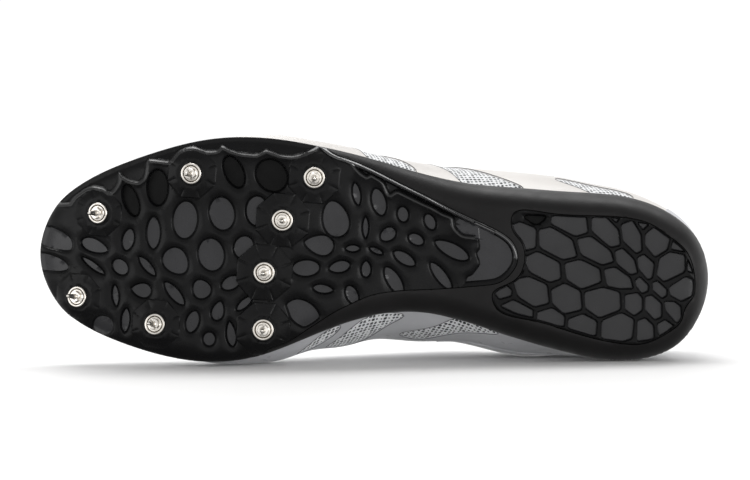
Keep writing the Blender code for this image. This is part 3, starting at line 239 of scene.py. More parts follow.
TONGUE = [
    (198, 1.0, 15.0, 3.6, 2.6, 99), (188, 1.0, 17.0, 4.6, 3.0, 99), (176, 1.0, 19.5, 6.0, 4.0, 99),
    (162, 0.9, 21.5, 7.2, 4.6, 99), (148, 0.8, 23.0, 8.0, 5.0, 99), (134, 0.8, 24.5, 8.6, 5.2, 99),
    (122, 0.9, 23.0, 8.8, 5.4, 99), (113, 1.0, 18.5, 7.0, 5.6, 99), (104, 1.0, 15.5, 6.0, 5.6, 88.0),
    (96, 1.0, 16.5, 6.4, 5.2, 95.0), (90, 1.0, 13.5, 4.8, 4.0, 99.0),
]
EYELETS = [176, 165, 154, 143, 132, 121]
EYELET_IN = 5.5


# ------------------------------------------------------------ shape functions
def smooth(t):
    t = np.clip(t, 0.0, 1.0)
    return t * t * (3.0 - 2.0 * t)


def closed_spline(knots, values):
    t = np.asarray(knots, float)
    v = np.asarray(values, float)
    n = len(t)
    h = np.diff(np.append(t, t[0] + 1.0))
    a = np.zeros((n, n))
    r = np.zeros(v.shape)
    for i in range(n):
        p, q = (i - 1) % n, (i + 1) % n
        a[i, p] += h[p]
        a[i, i] += 2.0 * (h[p] + h[i])
        a[i, q] += h[i]
        r[i] = 6.0 * ((v[q] - v[i]) / h[i] - (v[i] - v[p]) / h[p])
    m = np.linalg.solve(a, r)

    def f(u):
        u = (np.asarray(u, float) - t[0]) % 1.0 + t[0]
        i = np.clip(np.searchsorted(t, u, side="right") - 1, 0, n - 1)
        j = (i + 1) % n
        hi = h[i][..., None]
        b = (u - t[i])[..., None] / hi
        c = 1.0 - b
        return (c * v[i] + b * v[j]
                + ((c ** 3 - c) * m[i] + (b ** 3 - b) * m[j]) * hi ** 2 / 6.0)
    return f


def chord_knots(points):
    p = np.asarray(points, float)
    step = np.linalg.norm(np.roll(p, -1, axis=0) - p, axis=1) ** 0.75
    k = np.concatenate([[0.0], np.cumsum(step)])
    return k[:-1] / k[-1]


def smooth_loop(points, count):
    f = closed_spline(chord_knots(points), points)
    return f(np.arange(count) / count)


_ring = ([TOE_TIP] + [(x, a) for x, a, b in reversed(SOLE)] + [HEEL_TIP]
         + [(x, b) for x, a, b in SOLE])
_dense = smooth_loop(_ring, 2000)
_len = np.concatenate([[0.0], np.cumsum(np.linalg.norm(np.diff(_dense, axis=0, append=_dense[:1]), axis=1))])


def outline(u):
    u = np.asarray(u, float) % 1.0 * _len[-1]
    x = np.interp(u, _len, np.append(_dense[:, 0], _dense[0, 0]))
    y = np.interp(u, _len, np.append(_dense[:, 1], _dense[0, 1]))
    return np.stack([x, y], axis=-1)


def outward(u):
    t = outline(np.asarray(u) + 0.002) - outline(np.asarray(u) - 0.002)
    n = np.stack([t[..., 1], -t[..., 0]], axis=-1)
    return n / np.linalg.norm(n, axis=-1, keepdims=True)


def inset(u, d):
    return outline(u) - outward(u) * d


def edge_distance(x, y):
    p = np.stack([np.asarray(x, float).ravel(), np.asarray(y, float).ravel()], axis=1)
    out = np.empty(len(p))
    ring = _dense
    for s in range(0, len(p), 400):
        q = p[s:s + 400]
        out[s:s + 400] = np.sqrt(((q[:, None, :] - ring[None]) ** 2).sum(2).min(1))
    return out.reshape(np.shape(x))


def station(side, x):
    if side == "toe":
        return 0.0
    u = np.linspace(0.02, 0.48, 1500) if side == "lat" else np.linspace(0.52, 0.98, 1500)
    if side == "heel":
        u = np.linspace(0.4, 0.6, 1500)
    p = outline(u)
    return float(u[np.argmin(np.abs(p[:, 0] - x))])


def base_line(x):
    x = np.asarray(x, float)
    t = np.clip((x - ARCH_FROM) / (ARCH_TO - ARCH_FROM), 0, 1)
    arch = ARCH_RISE * np.sin(math.pi * t) ** 2
    return arch + SPRING_RISE * np.clip((x - SPRING_FROM) / SPRING_LENGTH, 0, None) ** SPRING_POWER


def ground(x):
    x = np.asarray(x, float)
    return base_line(x) + BEVEL_RISE * np.clip((BEVEL_FROM - x) / BEVEL_FROM, 0, None) ** 2


def stack(x):
    return HEEL_STACK - (HEEL_STACK - BALL_STACK) * smooth((np.asarray(x, float) - STACK_FROM) / (STACK_TO - STACK_FROM))


def sole_top(x):
    return base_line(x) + stack(x)


def edge_rise(x, y):
    s = np.clip(edge_distance(x, y) / EDGE_WIDTH, 0, 1)
    return 1.0 - np.sqrt(np.clip(1.0 - (1.0 - s) ** 2, 0, 1))


def inside(loop, x, y):
    p = np.asarray(loop, float)
    a, b = p, np.roll(p, -1, axis=0)
    x = np.asarray(x, float)
    y = np.asarray(y, float)
    out = np.zeros(x.shape, bool)
    for i in range(len(a)):
        if a[i, 1] == b[i, 1]:
            continue
        cross = (a[i, 1] > y) != (b[i, 1] > y)
        at = (b[i, 0] - a[i, 0]) * (y - a[i, 1]) / (b[i, 1] - a[i, 1]) + a[i, 0]
        out ^= cross & (x < at)
    return out


def depth_in(loop, x, y):
    """Signed distance to a closed loop, positive inside."""
    p = np.asarray(loop, float)
    a, b = p, np.roll(p, -1, axis=0)
    x = np.asarray(x, float)
    y = np.asarray(y, float)
    best = np.full(x.shape, 1e9)
    for i in range(len(a)):
        d = b[i] - a[i]
        ll = float(d @ d)
        if ll < 1e-12:
            continue
        t = np.clip(((x - a[i, 0]) * d[0] + (y - a[i, 1]) * d[1]) / ll, 0, 1)
        best = np.minimum(best, np.hypot(x - a[i, 0] - t * d[0], y - a[i, 1] - t * d[1]))
    return np.where(inside(loop, x, y), best, -best)


def offset(loop, d):
    """Loop moved inwards by d along its normals."""
    p = np.asarray(loop, float)
    t = np.roll(p, -1, axis=0) - np.roll(p, 1, axis=0)
    n = np.stack([t[:, 1], -t[:, 0]], 1)
    n /= np.maximum(np.linalg.norm(n, axis=1, keepdims=True), 1e-9)
    area = (p[:, 0] * np.roll(p[:, 1], -1) - np.roll(p[:, 0], -1) * p[:, 1]).sum()
    return p - n * d * np.sign(area)


def resample(loop, step):
    p = np.asarray(loop, float)
    q = np.concatenate([p, p[:1]])
    s = np.concatenate([[0], np.cumsum(np.linalg.norm(np.diff(q, axis=0), axis=1))])
    n = max(6, int(round(s[-1] / step)))
    t = np.arange(n) / n * s[-1]
    return np.stack([np.interp(t, s, q[:, 0]), np.interp(t, s, q[:, 1])], 1)


def rounded(loop, times=2, share=0.22):
    """Corners cut and cut again until they are round."""
    p = np.asarray(loop, float)
    for _ in range(times):
        q = np.roll(p, -1, axis=0)
        p = np.stack([p * (1 - share) + q * share, p * share + q * (1 - share)], 1).reshape(-1, 2)
    return p


# ------------------------------------------------------------------ materials
def new_material(name):
    m = bpy.data.materials.new(name)
    m.use_nodes = True
    return m, m.node_tree.nodes, m.node_tree.links, m.node_tree.nodes["Principled BSDF"]


def node(ns, kind, **values):
    n = ns.new(kind)
    for k, v in values.items():
        setattr(n, k, v)
    return n


def grain(ns, ls, coord, scale, detail=3.0, rough=0.55):
    t = ns.new("ShaderNodeTexNoise")
    t.inputs["Scale"].default_value = scale
    t.inputs["Detail"].default_value = detail
    t.inputs["Roughness"].default_value = rough
    ls.new(coord, t.inputs["Vector"])
    return t.outputs["Fac"]


def ramp(ns, ls, fac, stops):
    r = ns.new("ShaderNodeValToRGB")
    el = r.color_ramp.elements
    while len(el) < len(stops):
        el.new(0.5)
    for e, (p, c) in zip(el, stops):
        e.position = p
        e.color = (*c, 1.0) if len(c) == 3 else c
    ls.new(fac, r.inputs["Fac"])
    return r.outputs["Color"]


def level(ns, ls, fac, low, high, lo=0.0, hi=1.0):
    r = ns.new("ShaderNodeMapRange")
    r.inputs["From Min"].default_value = lo
    r.inputs["From Max"].default_value = hi
    r.inputs["To Min"].default_value = low
    r.inputs["To Max"].default_value = high
    ls.new(fac, r.inputs["Value"])
    return r.outputs["Result"]


def bump(ns, ls, height, strength, distance, normal=None):
    b = ns.new("ShaderNodeBump")
    b.inputs["Strength"].default_value = strength
    b.inputs["Distance"].default_value = distance
    ls.new(height, b.inputs["Height"])
    if normal is not None:
        ls.new(normal, b.inputs["Normal"])
    return b.outputs["Normal"]


def add(ns, ls, a, b, op="ADD"):
    n = ns.new("ShaderNodeMath")
    n.operation = op
    for k, v in enumerate((a, b)):
        if isinstance(v, (int, float)):
            n.inputs[k].default_value = v
        else:
            ls.new(v, n.inputs[k])
    return n.outputs[0]


def moulded(name, low, high, rough_low, rough_high, spec=0.5, grain_scale=900.0, depth=0.00006, coat=0.0, wave=0.0003, coat_rough=0.25):
    """Moulded plastic, foam or rubber: faint mottling, fine skin grain, worn gloss."""
    m, ns, ls, bsdf = new_material(name)
    co = ns.new("ShaderNodeTexCoord").outputs["Object"]
    wide = grain(ns, ls, co, 55.0, 4.0)
    fine = grain(ns, ls, co, grain_scale, 2.0)
    ls.new(ramp(ns, ls, wide, [(0.3, low), (0.75, high)]), bsdf.inputs["Base Color"])
    ls.new(level(ns, ls, grain(ns, ls, co, 130.0, 4.0), rough_low, rough_high, 0.3, 0.7), bsdf.inputs["Roughness"])
    bsdf.inputs["Specular IOR Level"].default_value = spec
    bsdf.inputs["Coat Weight"].default_value = coat
    bsdf.inputs["Coat Roughness"].default_value = coat_rough
    slow = bump(ns, ls, grain(ns, ls, co, 210.0, 2.0), 0.25, wave)
    ls.new(bump(ns, ls, fine, 0.35, depth, slow), bsdf.inputs["Normal"])
    return m


def steel(name):
    m, ns, ls, bsdf = new_material(name)
    co = ns.new("ShaderNodeTexCoord").outputs["Object"]
    ls.new(ramp(ns, ls, grain(ns, ls, co, 420.0, 4.0), [(0.35, (0.74, 0.70, 0.64)), (0.65, (0.97, 0.93, 0.87))]),
           bsdf.inputs["Base Color"])
    bsdf.inputs["Metallic"].default_value = 1.0
    ls.new(level(ns, ls, grain(ns, ls, co, 700.0, 3.0), 0.14, 0.28, 0.3, 0.7), bsdf.inputs["Roughness"])
    ls.new(bump(ns, ls, grain(ns, ls, co, 1600.0, 3.0), 0.3, 0.00004), bsdf.inputs["Normal"])
    return m


def weave_height(ns, ls, uv, pitch_u, pitch_v):
    """Over and under threads of a plain weave, from a map in metres."""
    sep = ns.new("ShaderNodeSeparateXYZ")
    ls.new(uv, sep.inputs[0])
    u = add(ns, ls, sep.outputs[0], math.pi / pitch_u, "MULTIPLY")
    v = add(ns, ls, sep.outputs[1], math.pi / pitch_v, "MULTIPLY")
    su, sv = add(ns, ls, u, 0.0, "SINE"), add(ns, ls, v, 0.0, "SINE")
    return add(ns, ls, su, sv, "MULTIPLY"), su, sv


def open_mesh(name, thread, speck, pitch_u=0.00175, pitch_v=0.0021, sheen=0.3):
    """Engineered mesh: pale yarn with staggered rows of small dark pores."""
    m, ns, ls, bsdf = new_material(name)
    uv = node(ns, "ShaderNodeUVMap", uv_map="fabric").outputs["UV"]
    turn = ns.new("ShaderNodeMapping")
    turn.inputs["Rotation"].default_value = (0, 0, math.radians(14))
    ls.new(uv, turn.inputs["Vector"])
    h, _, _ = weave_height(ns, ls, turn.outputs[0], pitch_u, pitch_v)
    peak = add(ns, ls, h, 0.0, "ABSOLUTE")
    wander = level(ns, ls, grain(ns, ls, uv, 420.0, 2.0), -0.30, 0.26, 0.38, 0.58)
    pores = ramp(ns, ls, add(ns, ls, peak, wander), [(0.54, (0, 0, 0)), (0.66, (1, 1, 1))])
    mix = node(ns, "ShaderNodeMix", data_type="RGBA")
    ls.new(pores, mix.inputs[0])
    ls.new(ramp(ns, ls, grain(ns, ls, uv, 1100.0, 3.0), [(0.3, tuple(c * 0.82 for c in thread)), (0.7, thread)]), mix.inputs[6])
    ls.new(ramp(ns, ls, grain(ns, ls, uv, 240.0, 1.0), [(0.35, speck), (0.65, tuple(c * 5 + 0.02 for c in speck))]), mix.inputs[7])
    ls.new(mix.outputs[2], bsdf.inputs["Base Color"])
    ls.new(level(ns, ls, grain(ns, ls, uv, 1500.0, 2.0), 0.62, 0.85, 0.3, 0.7), bsdf.inputs["Roughness"])
    bsdf.inputs["Sheen Weight"].default_value = sheen
    bsdf.inputs["Sheen Roughness"].default_value = 0.4
    both = add(ns, ls, add(ns, ls, peak, 0.35, "MULTIPLY"), add(ns, ls, pores, -1.4, "MULTIPLY"))
    ls.new(bump(ns, ls, both, 0.6, 0.00022), bsdf.inputs["Normal"])
    return m


def film(name, low, high, rough=0.38, ghost=0.10):
    """Coated film fused to the mesh: the weave shows faintly through it."""
    m, ns, ls, bsdf = new_material(name)
    uv = node(ns, "ShaderNodeUVMap", uv_map="fabric").outputs["UV"]
    co = ns.new("ShaderNodeTexCoord").outputs["Object"]
    ls.new(ramp(ns, ls, grain(ns, ls, co, 34.0, 5.0), [(0.3, low), (0.7, high)]), bsdf.inputs["Base Color"])
    ls.new(level(ns, ls, grain(ns, ls, co, 160.0, 4.0), rough - 0.07, rough + 0.08, 0.3, 0.7), bsdf.inputs["Roughness"])
    h, _, _ = weave_height(ns, ls, uv, 0.0012, 0.0012)
    n1 = bump(ns, ls, h, ghost, 0.0002)
    ls.new(bump(ns, ls, grain(ns, ls, co, 1300.0, 3.0), 0.15, 0.00005, n1), bsdf.inputs["Normal"])
    bsdf.inputs["Coat Weight"].default_value = 0.15
    bsdf.inputs["Coat Roughness"].default_value = 0.3
    return m


def cloth(name, low, high, pitch=0.0009, depth=0.00018, sheen=0.4, rough=0.85, uv_name="fabric"):
    """Close woven or knitted cloth."""
    m, ns, ls, bsdf = new_material(name)
    uv = node(ns, "ShaderNodeUVMap", uv_map=uv_name).outputs["UV"]
    h, su, sv = weave_height(ns, ls, uv, pitch, pitch)
    fuzz = grain(ns, ls, uv, 2600.0, 3.0)
    wide = grain(ns, ls, uv, 60.0, 3.0)
    both = add(ns, ls, h, fuzz)
    base = ramp(ns, ls, level(ns, ls, add(ns, ls, both, wide), 0.0, 1.0, -0.6, 2.2), [(0.15, low), (0.85, high)])
    ls.new(base, bsdf.inputs["Base Color"])
    ls.new(level(ns, ls, fuzz, rough - 0.08, min(rough + 0.08, 1.0), 0.3, 0.7), bsdf.inputs["Roughness"])
    bsdf.inputs["Sheen Weight"].default_value = sheen
    bsdf.inputs["Sheen Roughness"].default_value = 0.45
    ls.new(bump(ns, ls, both, 0.6, depth), bsdf.inputs["Normal"])
    return m


# ------------------------------------------------------------------- builders
def piece(name, verts, faces, mats, replaces=(), index=None, uv=None, angle=40.0, fix=True):
    """Mesh object from points in millimetres, riding on the shoe."""
    mesh = bpy.data.meshes.new(name)
    place = world(verts)
    # what touches the floor lies flat on it
    place[:, 2] = np.maximum(place[:, 2], 0.00015)
    mesh.from_pydata([tuple(p) for p in place], [], [tuple(int(i) for i in f) for f in faces])
    for m in mats:
        mesh.materials.append(m)
    if index is not None:
        mesh.polygons.foreach_set("material_index", np.asarray(index, np.int32))
    if uv is not None:
        layer = mesh.uv_layers.new(name="fabric")
        loops = np.empty(len(mesh.loops), np.int32)
        mesh.loops.foreach_get("vertex_index", loops)
        layer.data.foreach_set("uv", (np.asarray(uv)[loops] * MM).ravel())
    if fix:
        bm = bmesh.new()
        bm.from_mesh(mesh)
        bmesh.ops.recalc_face_normals(bm, faces=bm.faces[:])
        bm.to_mesh(mesh)
        bm.free()
    mesh.shade_smooth()
    mesh.set_sharp_from_angle(angle=math.radians(angle))
    ob = bpy.data.objects.new(name, mesh)
    bpy.context.scene.collection.objects.link(ob)
    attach(ob, "root")
    if replaces:
        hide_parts(*replaces)
    return ob


def plan(loops, lines, points, eps=1e-4):
    """Triangles of the plan: closed loops and open lines are kept as edges."""
    co, ed = [], []
    for group, closed in ((loops, True), (lines, False)):
        for loop in group:
            b, n = len(co), len(loop)
            co.extend(Vector((float(p[0]), float(p[1]))) for p in loop)
            ed.extend((b + i, b + (i + 1) % n) for i in range(n if closed else n - 1))
    co.extend(Vector((float(p[0]), float(p[1]))) for p in points)
    v, e, f, _, _, _ = delaunay_2d_cdt(co, ed, [], 0, eps)
    xy = np.array([(p[0], p[1]) for p in v])
    tri = np.array([t for t in f if len(t) == 3])
    return xy, tri


def thick_skin(keep, loops, lines, points, low, top):
    """Closed piece over the plan inside keep: lower skin low(x, y), upper top(x, y)."""
    xy, tri = plan([keep] + list(loops), lines, points)
    mid = xy[tri].mean(1)
    tri = tri[inside(keep, mid[:, 0], mid[:, 1])]
    used = np.unique(tri)
    back = np.full(len(xy), -1)
    back[used] = np.arange(len(used))
    tri, xy = back[tri], xy[used]
    n = len(xy)
    zl = low(xy[:, 0], xy[:, 1])
    zt = top(xy[:, 0], xy[:, 1])
    verts = np.concatenate([np.column_stack([xy, zl]), np.column_stack([xy, zt])])
    edges = np.concatenate([tri[:, [0, 1]], tri[:, [1, 2]], tri[:, [2, 0]]])
    key = np.sort(edges, 1)
    _, first, count = np.unique(key, axis=0, return_index=True, return_counts=True)
    rim = edges[first[count == 1]]
    faces = [tuple(t[::-1]) for t in tri] + [tuple(t + n) for t in tri]
    faces += [(a, b, b + n, a + n) for a, b in rim]
    return verts, faces, len(tri)


def lattice(x0, x1, step, half=60):
    return [(x, y) for k, x in enumerate(np.arange(x0, x1, step))
            for y in np.arange(-half + (k % 2) * step / 2, half, step)]


def window(x, y, a, b, turn, taper, point, count):
    t = np.arange(count) * 2 * math.pi / count
    s = np.sin(t)
    px = a * np.cos(t)
    py = b * s * np.abs(s) ** point * (1.0 - taper * np.cos(t))
    r = math.radians(turn)
    return np.stack([x + px * math.cos(r) - py * math.sin(r),
                     y + px * math.sin(r) + py * math.cos(r)], 1)


def octagon(cx, cy, r, turn=22.5):
    a = np.radians(np.arange(8) * 45.0 + turn)
    r = r / math.cos(math.pi / 8)
    return np.stack([cx + r * np.cos(a), cy + r * np.sin(a)], 1)


def octagon_radius(dx, dy):
    a = np.arctan2(dy, dx)
    k = np.mod(a + math.pi / 8, math.pi / 4) - math.pi / 8
    return np.hypot(dx, dy) * np.cos(k)


def plate_zone(grow=0.0):
    path = np.array(PLATE_LATERAL + PLATE_END + PLATE_MEDIAL, float)
    f = closed_spline(chord_knots(path), path)
    k = chord_knots(path)
    way = f(np.linspace(k[0], k[-1], 6 * len(path)))
    t = np.gradient(way, axis=0)
    n = np.stack([t[:, 1], -t[:, 0]], 1)
    n /= np.linalg.norm(n, axis=1, keepdims=True)
    n *= np.sign((n * (way - np.array([130.0, 5.0]))).sum(1).mean())
    way = way + n * grow
    return np.concatenate([way, [(240, -80), (310, -60), (310, 60), (240, 80), (180, 70)]])


def pad_loop(shrink, count=160):
    return offset(smooth_loop(PAD, count), shrink)


def heel_cells():
    return [resample(rounded(offset(c, -CELL_GROW), 2, 0.10), 0.7) for c in CELLS]


# ------------------------------------------------------------------ the plate
def boundary_recess(d, depth, wide=1.2, crown=0.62, reach=2.5):
    """Wall of a window: the rib is bevelled towards it, then a steep side with a fillet."""
    t = (d + 0.35) / wide
    lip = crown * np.clip((d + reach) / (reach - 0.2), 0, 1)
    return np.clip(lip + (depth - crown) * smooth(t), 0, depth)


BEAD_IN, BEAD_HALF = 1.05, 0.80


class Plate:
    def __init__(self):
        self.loops = [(window(*w[:7], 44 if w[2] * w[3] > 14 else 32), DEEP_DEPTH if w[7] == "deep" else WEB_DEPTH)
                      for w in WINDOWS]
        self.loops += [(resample(rounded(c, 2), 0.9), WEB_DEPTH) for c in CORNERED]
        self.zone = plate_zone()
        self.end = resample(rounded(WEB_END, 1), 1.0)
        self.scallop = resample(rounded(SCALLOP, 1, 0.15), 0.8)
        self.shelf = resample(rounded(SHELF, 1, 0.15), 0.8)

    def outer_edge(self, x, y):
        """Distance to the plate's own edge where it lies on the midsole."""
        return depth_in(self.zone, x, y)

    def windows(self, x, y):
        """Recess depth and how far inside a window a point is."""
        rec = np.zeros(x.shape)
        deep = np.full(x.shape, -9.0)
        for loop, depth in self.loops:
            lo, hi = loop.min(0) - 2.4, loop.max(0) + 2.4
            near = (x > lo[0]) & (x < hi[0]) & (y > lo[1]) & (y < hi[1])
            if not near.any():
                continue
            d = depth_in(loop, x[near], y[near])
            rec[near] = np.maximum(rec[near], boundary_recess(d, depth))
            deep[near] = np.maximum(deep[near], d)
        near = x < 106
        if near.any():
            d = np.minimum(depth_in(self.end, x[near], y[near]), self.outer_edge(x[near], y[near]) - 1.5)
            rec[near] = np.maximum(rec[near], boundary_recess(d, WEB_DEPTH * 0.8))
            deep[near] = np.maximum(deep[near], d)
        return rec, deep

    def rims(self, x, y):
        """Signed distance past the scalloped ends of the web, and the drop there."""
        a = depth_in(self.scallop, x, y)
        b = np.minimum(depth_in(self.shelf, x, y), self.outer_edge(x, y) - 1.5)
        return np.maximum(a, b), np.maximum(boundary_recess(a - 0.1, SCALLOP_DEPTH, 1.2, 0.1, 0.8),
                                            boundary_recess(b - 0.1, SHELF_DEPTH, 1.1, 0.1, 0.8))

    def open_bay(self, x, y, past, deep):
        """Where the last bay of the rim and the plate's plain end are one floor."""
        return smooth((past + 1.3) / 0.5) * smooth((deep + 1.3) / 0.5) * (x < 103) * smooth((y - 12.0) / 1.5)

    def skin(self, x, y):
        proud = 0.5 * (1.0 - smooth((x - 150) / 30))
        z = ground(x) + PLATE_THICK * edge_rise(x, y) - proud
        # a low bead runs along the plate's edge over the waist
        e = self.outer_edge(x, y)
        bead = 0.85 * np.sqrt(np.clip(1 - ((e - BEAD_IN) / BEAD_HALF) ** 2, 0, 1))
        return z - bead * (1 - smooth((x - 172) / 12)) * smooth((y - 2.0) / 10.0)

    def low(self, x, y):
        z = self.skin(x, y)
        cap = ground(x) + PLATE_THICK - 0.75
        rec, deep = self.windows(x, y)
        past, drop = self.rims(x, y)
        joined = self.open_bay(x, y, past, deep)
        rec = np.maximum(np.maximum(rec, drop), joined * SHELF_DEPTH)
        lip = 0.55 * np.exp(-((past + 0.95) / 0.72) ** 2) * smooth((x - 94) / 6) * (1 - joined)
        out = np.minimum(z + rec, np.maximum(cap, z)) - lip
        for cx, cy, radius, lean in SPIKES:
            r = octagon_radius(x - cx, y - cy)
            near = r < radius + 0.5
            if not near.any():
                continue
            c = float(ground(cx))
            slope = float(ground(cx + 0.5) - ground(cx - 0.5))
            flat = c + slope * (x[near] - cx) + math.tan(math.radians(lean)) * (y[near] - cy) - BOSS_RISE
            rr = r[near]
            t = np.clip((rr - BOSS_SEAT) / (radius - BOSS_SEAT), 0, 1)
            boss = (1 - t) * flat + t * (z[near] - BOSS_STEP)
            # shallow radial creases and a groove round the seat
            a = np.degrees(np.arctan2(y[near] - cy, x[near] - cx))
            k = np.abs((a - 22.5 + 22.5) % 45 - 22.5)
            crease = 0.30 * np.exp(-(k * rr / 57.3 / 0.35) ** 2) * smooth((rr - 5.6) / 2.0)
            groove = 0.35 * np.exp(-((rr - BOSS_SEAT) / 0.35) ** 2)
            boss = boss + crease + groove
            w = smooth((rr - radius) / 0.4)
            out[near] = (1 - w) * boss + w * out[near]
        return out


def build_plate():
    p = Plate()
    keep = inset(np.arange(640) / 640, 0.12)
    zone = resample(p.zone, 0.9)
    inner = plan([keep, zone], [], [])
    # outline of the plate: the sole's edge cut by the plate's own edge
    xy, tri = inner
    mid = xy[tri].mean(1)
    ok = inside(keep, mid[:, 0], mid[:, 1]) & inside(zone, mid[:, 0], mid[:, 1])
    tri = tri[ok]
    edges = np.concatenate([tri[:, [0, 1]], tri[:, [1, 2]], tri[:, [2, 0]]])
    _, first, count = np.unique(np.sort(edges, 1), axis=0, return_index=True, return_counts=True)
    nxt = {int(a): int(b) for a, b in edges[first[count == 1]]}
    start = next(iter(nxt))
    ring = [start]
    while nxt[ring[-1]] != start and len(ring) < len(nxt) + 2:
        ring.append(nxt[ring[-1]])
    edge = xy[ring]
    loops = []
    for loop in (p.scallop, p.shelf):
        for d in (-1.25, -1.0, -0.75, -0.5, -0.2, 0.15, 0.5, 0.85):
            loops.append(offset(loop, d))
    for loop, _ in p.loops + [(p.end, 0)]:
        for d in (-1.7, -1.0, -0.5, -0.2, 0.05, 0.35, 0.75):
            loops.append(offset(loop, d))
    for cx, cy, radius, lean in SPIKES:
        for r in (radius + 0.4, radius, radius - 0.5):
            loops.append(resample(octagon(cx, cy, r), 1.2))
        for r in (5.8, 5.2, 4.7):
            a = np.arange(40) * 2 * math.pi / 40
            loops.append(np.stack([cx + r * np.cos(a), cy + r * np.sin(a)], 1))
    lines = []
    for cx, cy, radius, lean in SPIKES:
        for k in range(8):
            a = math.radians(22.5 + 45 * k)
            for side in (-0.4, 0.0, 0.4):
                n = np.array([-math.sin(a), math.cos(a)]) * side
                d = np.array([math.cos(a), math.sin(a)])
                lines.append([np.array([cx, cy]) + n + d * r for r in np.linspace(6.0, radius / math.cos(math.pi / 8) - 0.2, 6)])
    for d in [0.1] + [BEAD_IN + BEAD_HALF * math.sin(math.radians(a)) for a in (-88, -72, -56, -40, -20, 0, 20, 40, 60, 88)] + [2.2]:
        way = plate_zone(-d)
        way = way[(way[:, 0] < 184)]
        lines.append(resample_open(way, 1.0))
    points = []
    for d in (0.3, 0.7, 1.2, 1.8, 2.6, 3.6, 4.8, 6.2, 7.8):
        points += inset(np.arange(420) / 420, d).tolist()
    points += lattice(78, 285, 2.3)
    verts, faces, n = thick_skin(edge, loops, lines, points, p.low, lambda x, y: ground(x) + PLATE_THICK)
    v = np.asarray(verts)
    tri = np.array([f for f in faces[:n]])
    mid = v[tri].mean(1)
    _, deep = p.windows(mid[:, 0].copy(), mid[:, 1].copy())
    floor = deep > 0.62
    for cx, cy, radius, lean in SPIKES:
        floor &= octagon_radius(mid[:, 0] - cx, mid[:, 1] - cy) > radius + 0.1
    # deep windows take the near-black material: painted shade on their floors
    black = np.zeros(len(mid), bool)
    for (loop, depth) in p.loops:
        if depth == DEEP_DEPTH:
            black |= inside(loop, mid[:, 0], mid[:, 1])
    index = np.zeros(len(faces), int)
    index[:n] = np.where(floor, np.where(black, 2, 1), 0)
    past, _ = p.rims(mid[:, 0], mid[:, 1])
    edge_gap = p.outer_edge(mid[:, 0], mid[:, 1])
    # the last bay of the rim opens on to the plate's plain end
    bay = (past > 0.45) & (mid[:, 0] < 107) & (mid[:, 1] > -5)
    bay |= p.open_bay(mid[:, 0], mid[:, 1], past, deep) > 0.6
    index[:n][bay] = 1
    gloss = (np.abs(past + 0.5) < 0.9) & ~floor & ~bay & (mid[:, 0] > 96)
    index[:n][gloss] = 3
    index[:n][(edge_gap < 1.6) & (mid[:, 0] < 178) & (mid[:, 1] > 6)] = 4
    return verts, faces, index


def resample_open(p, step):
    p = np.asarray(p, float)
    s = np.concatenate([[0], np.cumsum(np.linalg.norm(np.diff(p, axis=0), axis=1))])
    t = np.linspace(0, s[-1], max(2, int(s[-1] / step)))
    return np.stack([np.interp(t, s, p[:, 0]), np.interp(t, s, p[:, 1])], 1)


def build_midsole():
    n = 640
    keep = inset(np.arange(n) / n, 0.0)
    plate, pad = plate_zone(0.35), pad_loop(-0.35)
    loops = [resample(plate, 1.2), pad, pad_loop(-0.75), pad_loop(-0.1)]
    lines = [resample_open(w[w[:, 0] < 190], 1.2) for w in (plate_zone(0.75), plate_zone(0.1))]
    points = []
    for d in (0.12, 0.3, 0.55, 0.9, 1.4, 2.0, 2.8, 3.8, 5.0, 6.4, 8.0, 9.6):
        points += inset(np.arange(480) / 480, d).tolist()
    points += lattice(0, 285, 4.0)

    def low(x, y):
        z = ground(x) + stack(x) * edge_rise(x, y)
        z = np.minimum(z, sole_top(x) - 0.5)
        a = depth_in(plate, x, y)
        b = depth_in(pad, x, y)
        # soft edge round both pockets, then the pocket's floor
        for d, t in ((a, PLATE_THICK), (b, PAD_THICK)):
            lip = 0.35 * smooth((d + 0.6) / 0.6)
            floor = ground(x) + t + 0.1
            z = np.where(d > -0.02, np.maximum(z, floor * smooth((d + 0.02) / 0.2) + z * (1 - smooth((d + 0.02) / 0.2))), z + lip * (d > -0.6))
        return z

    def top(x, y):
        e = edge_distance(x, y)
        return sole_top(x) - 0.35 * smooth(1 - e / 0.5)

    return thick_skin(keep, loops, lines, points, low, top)


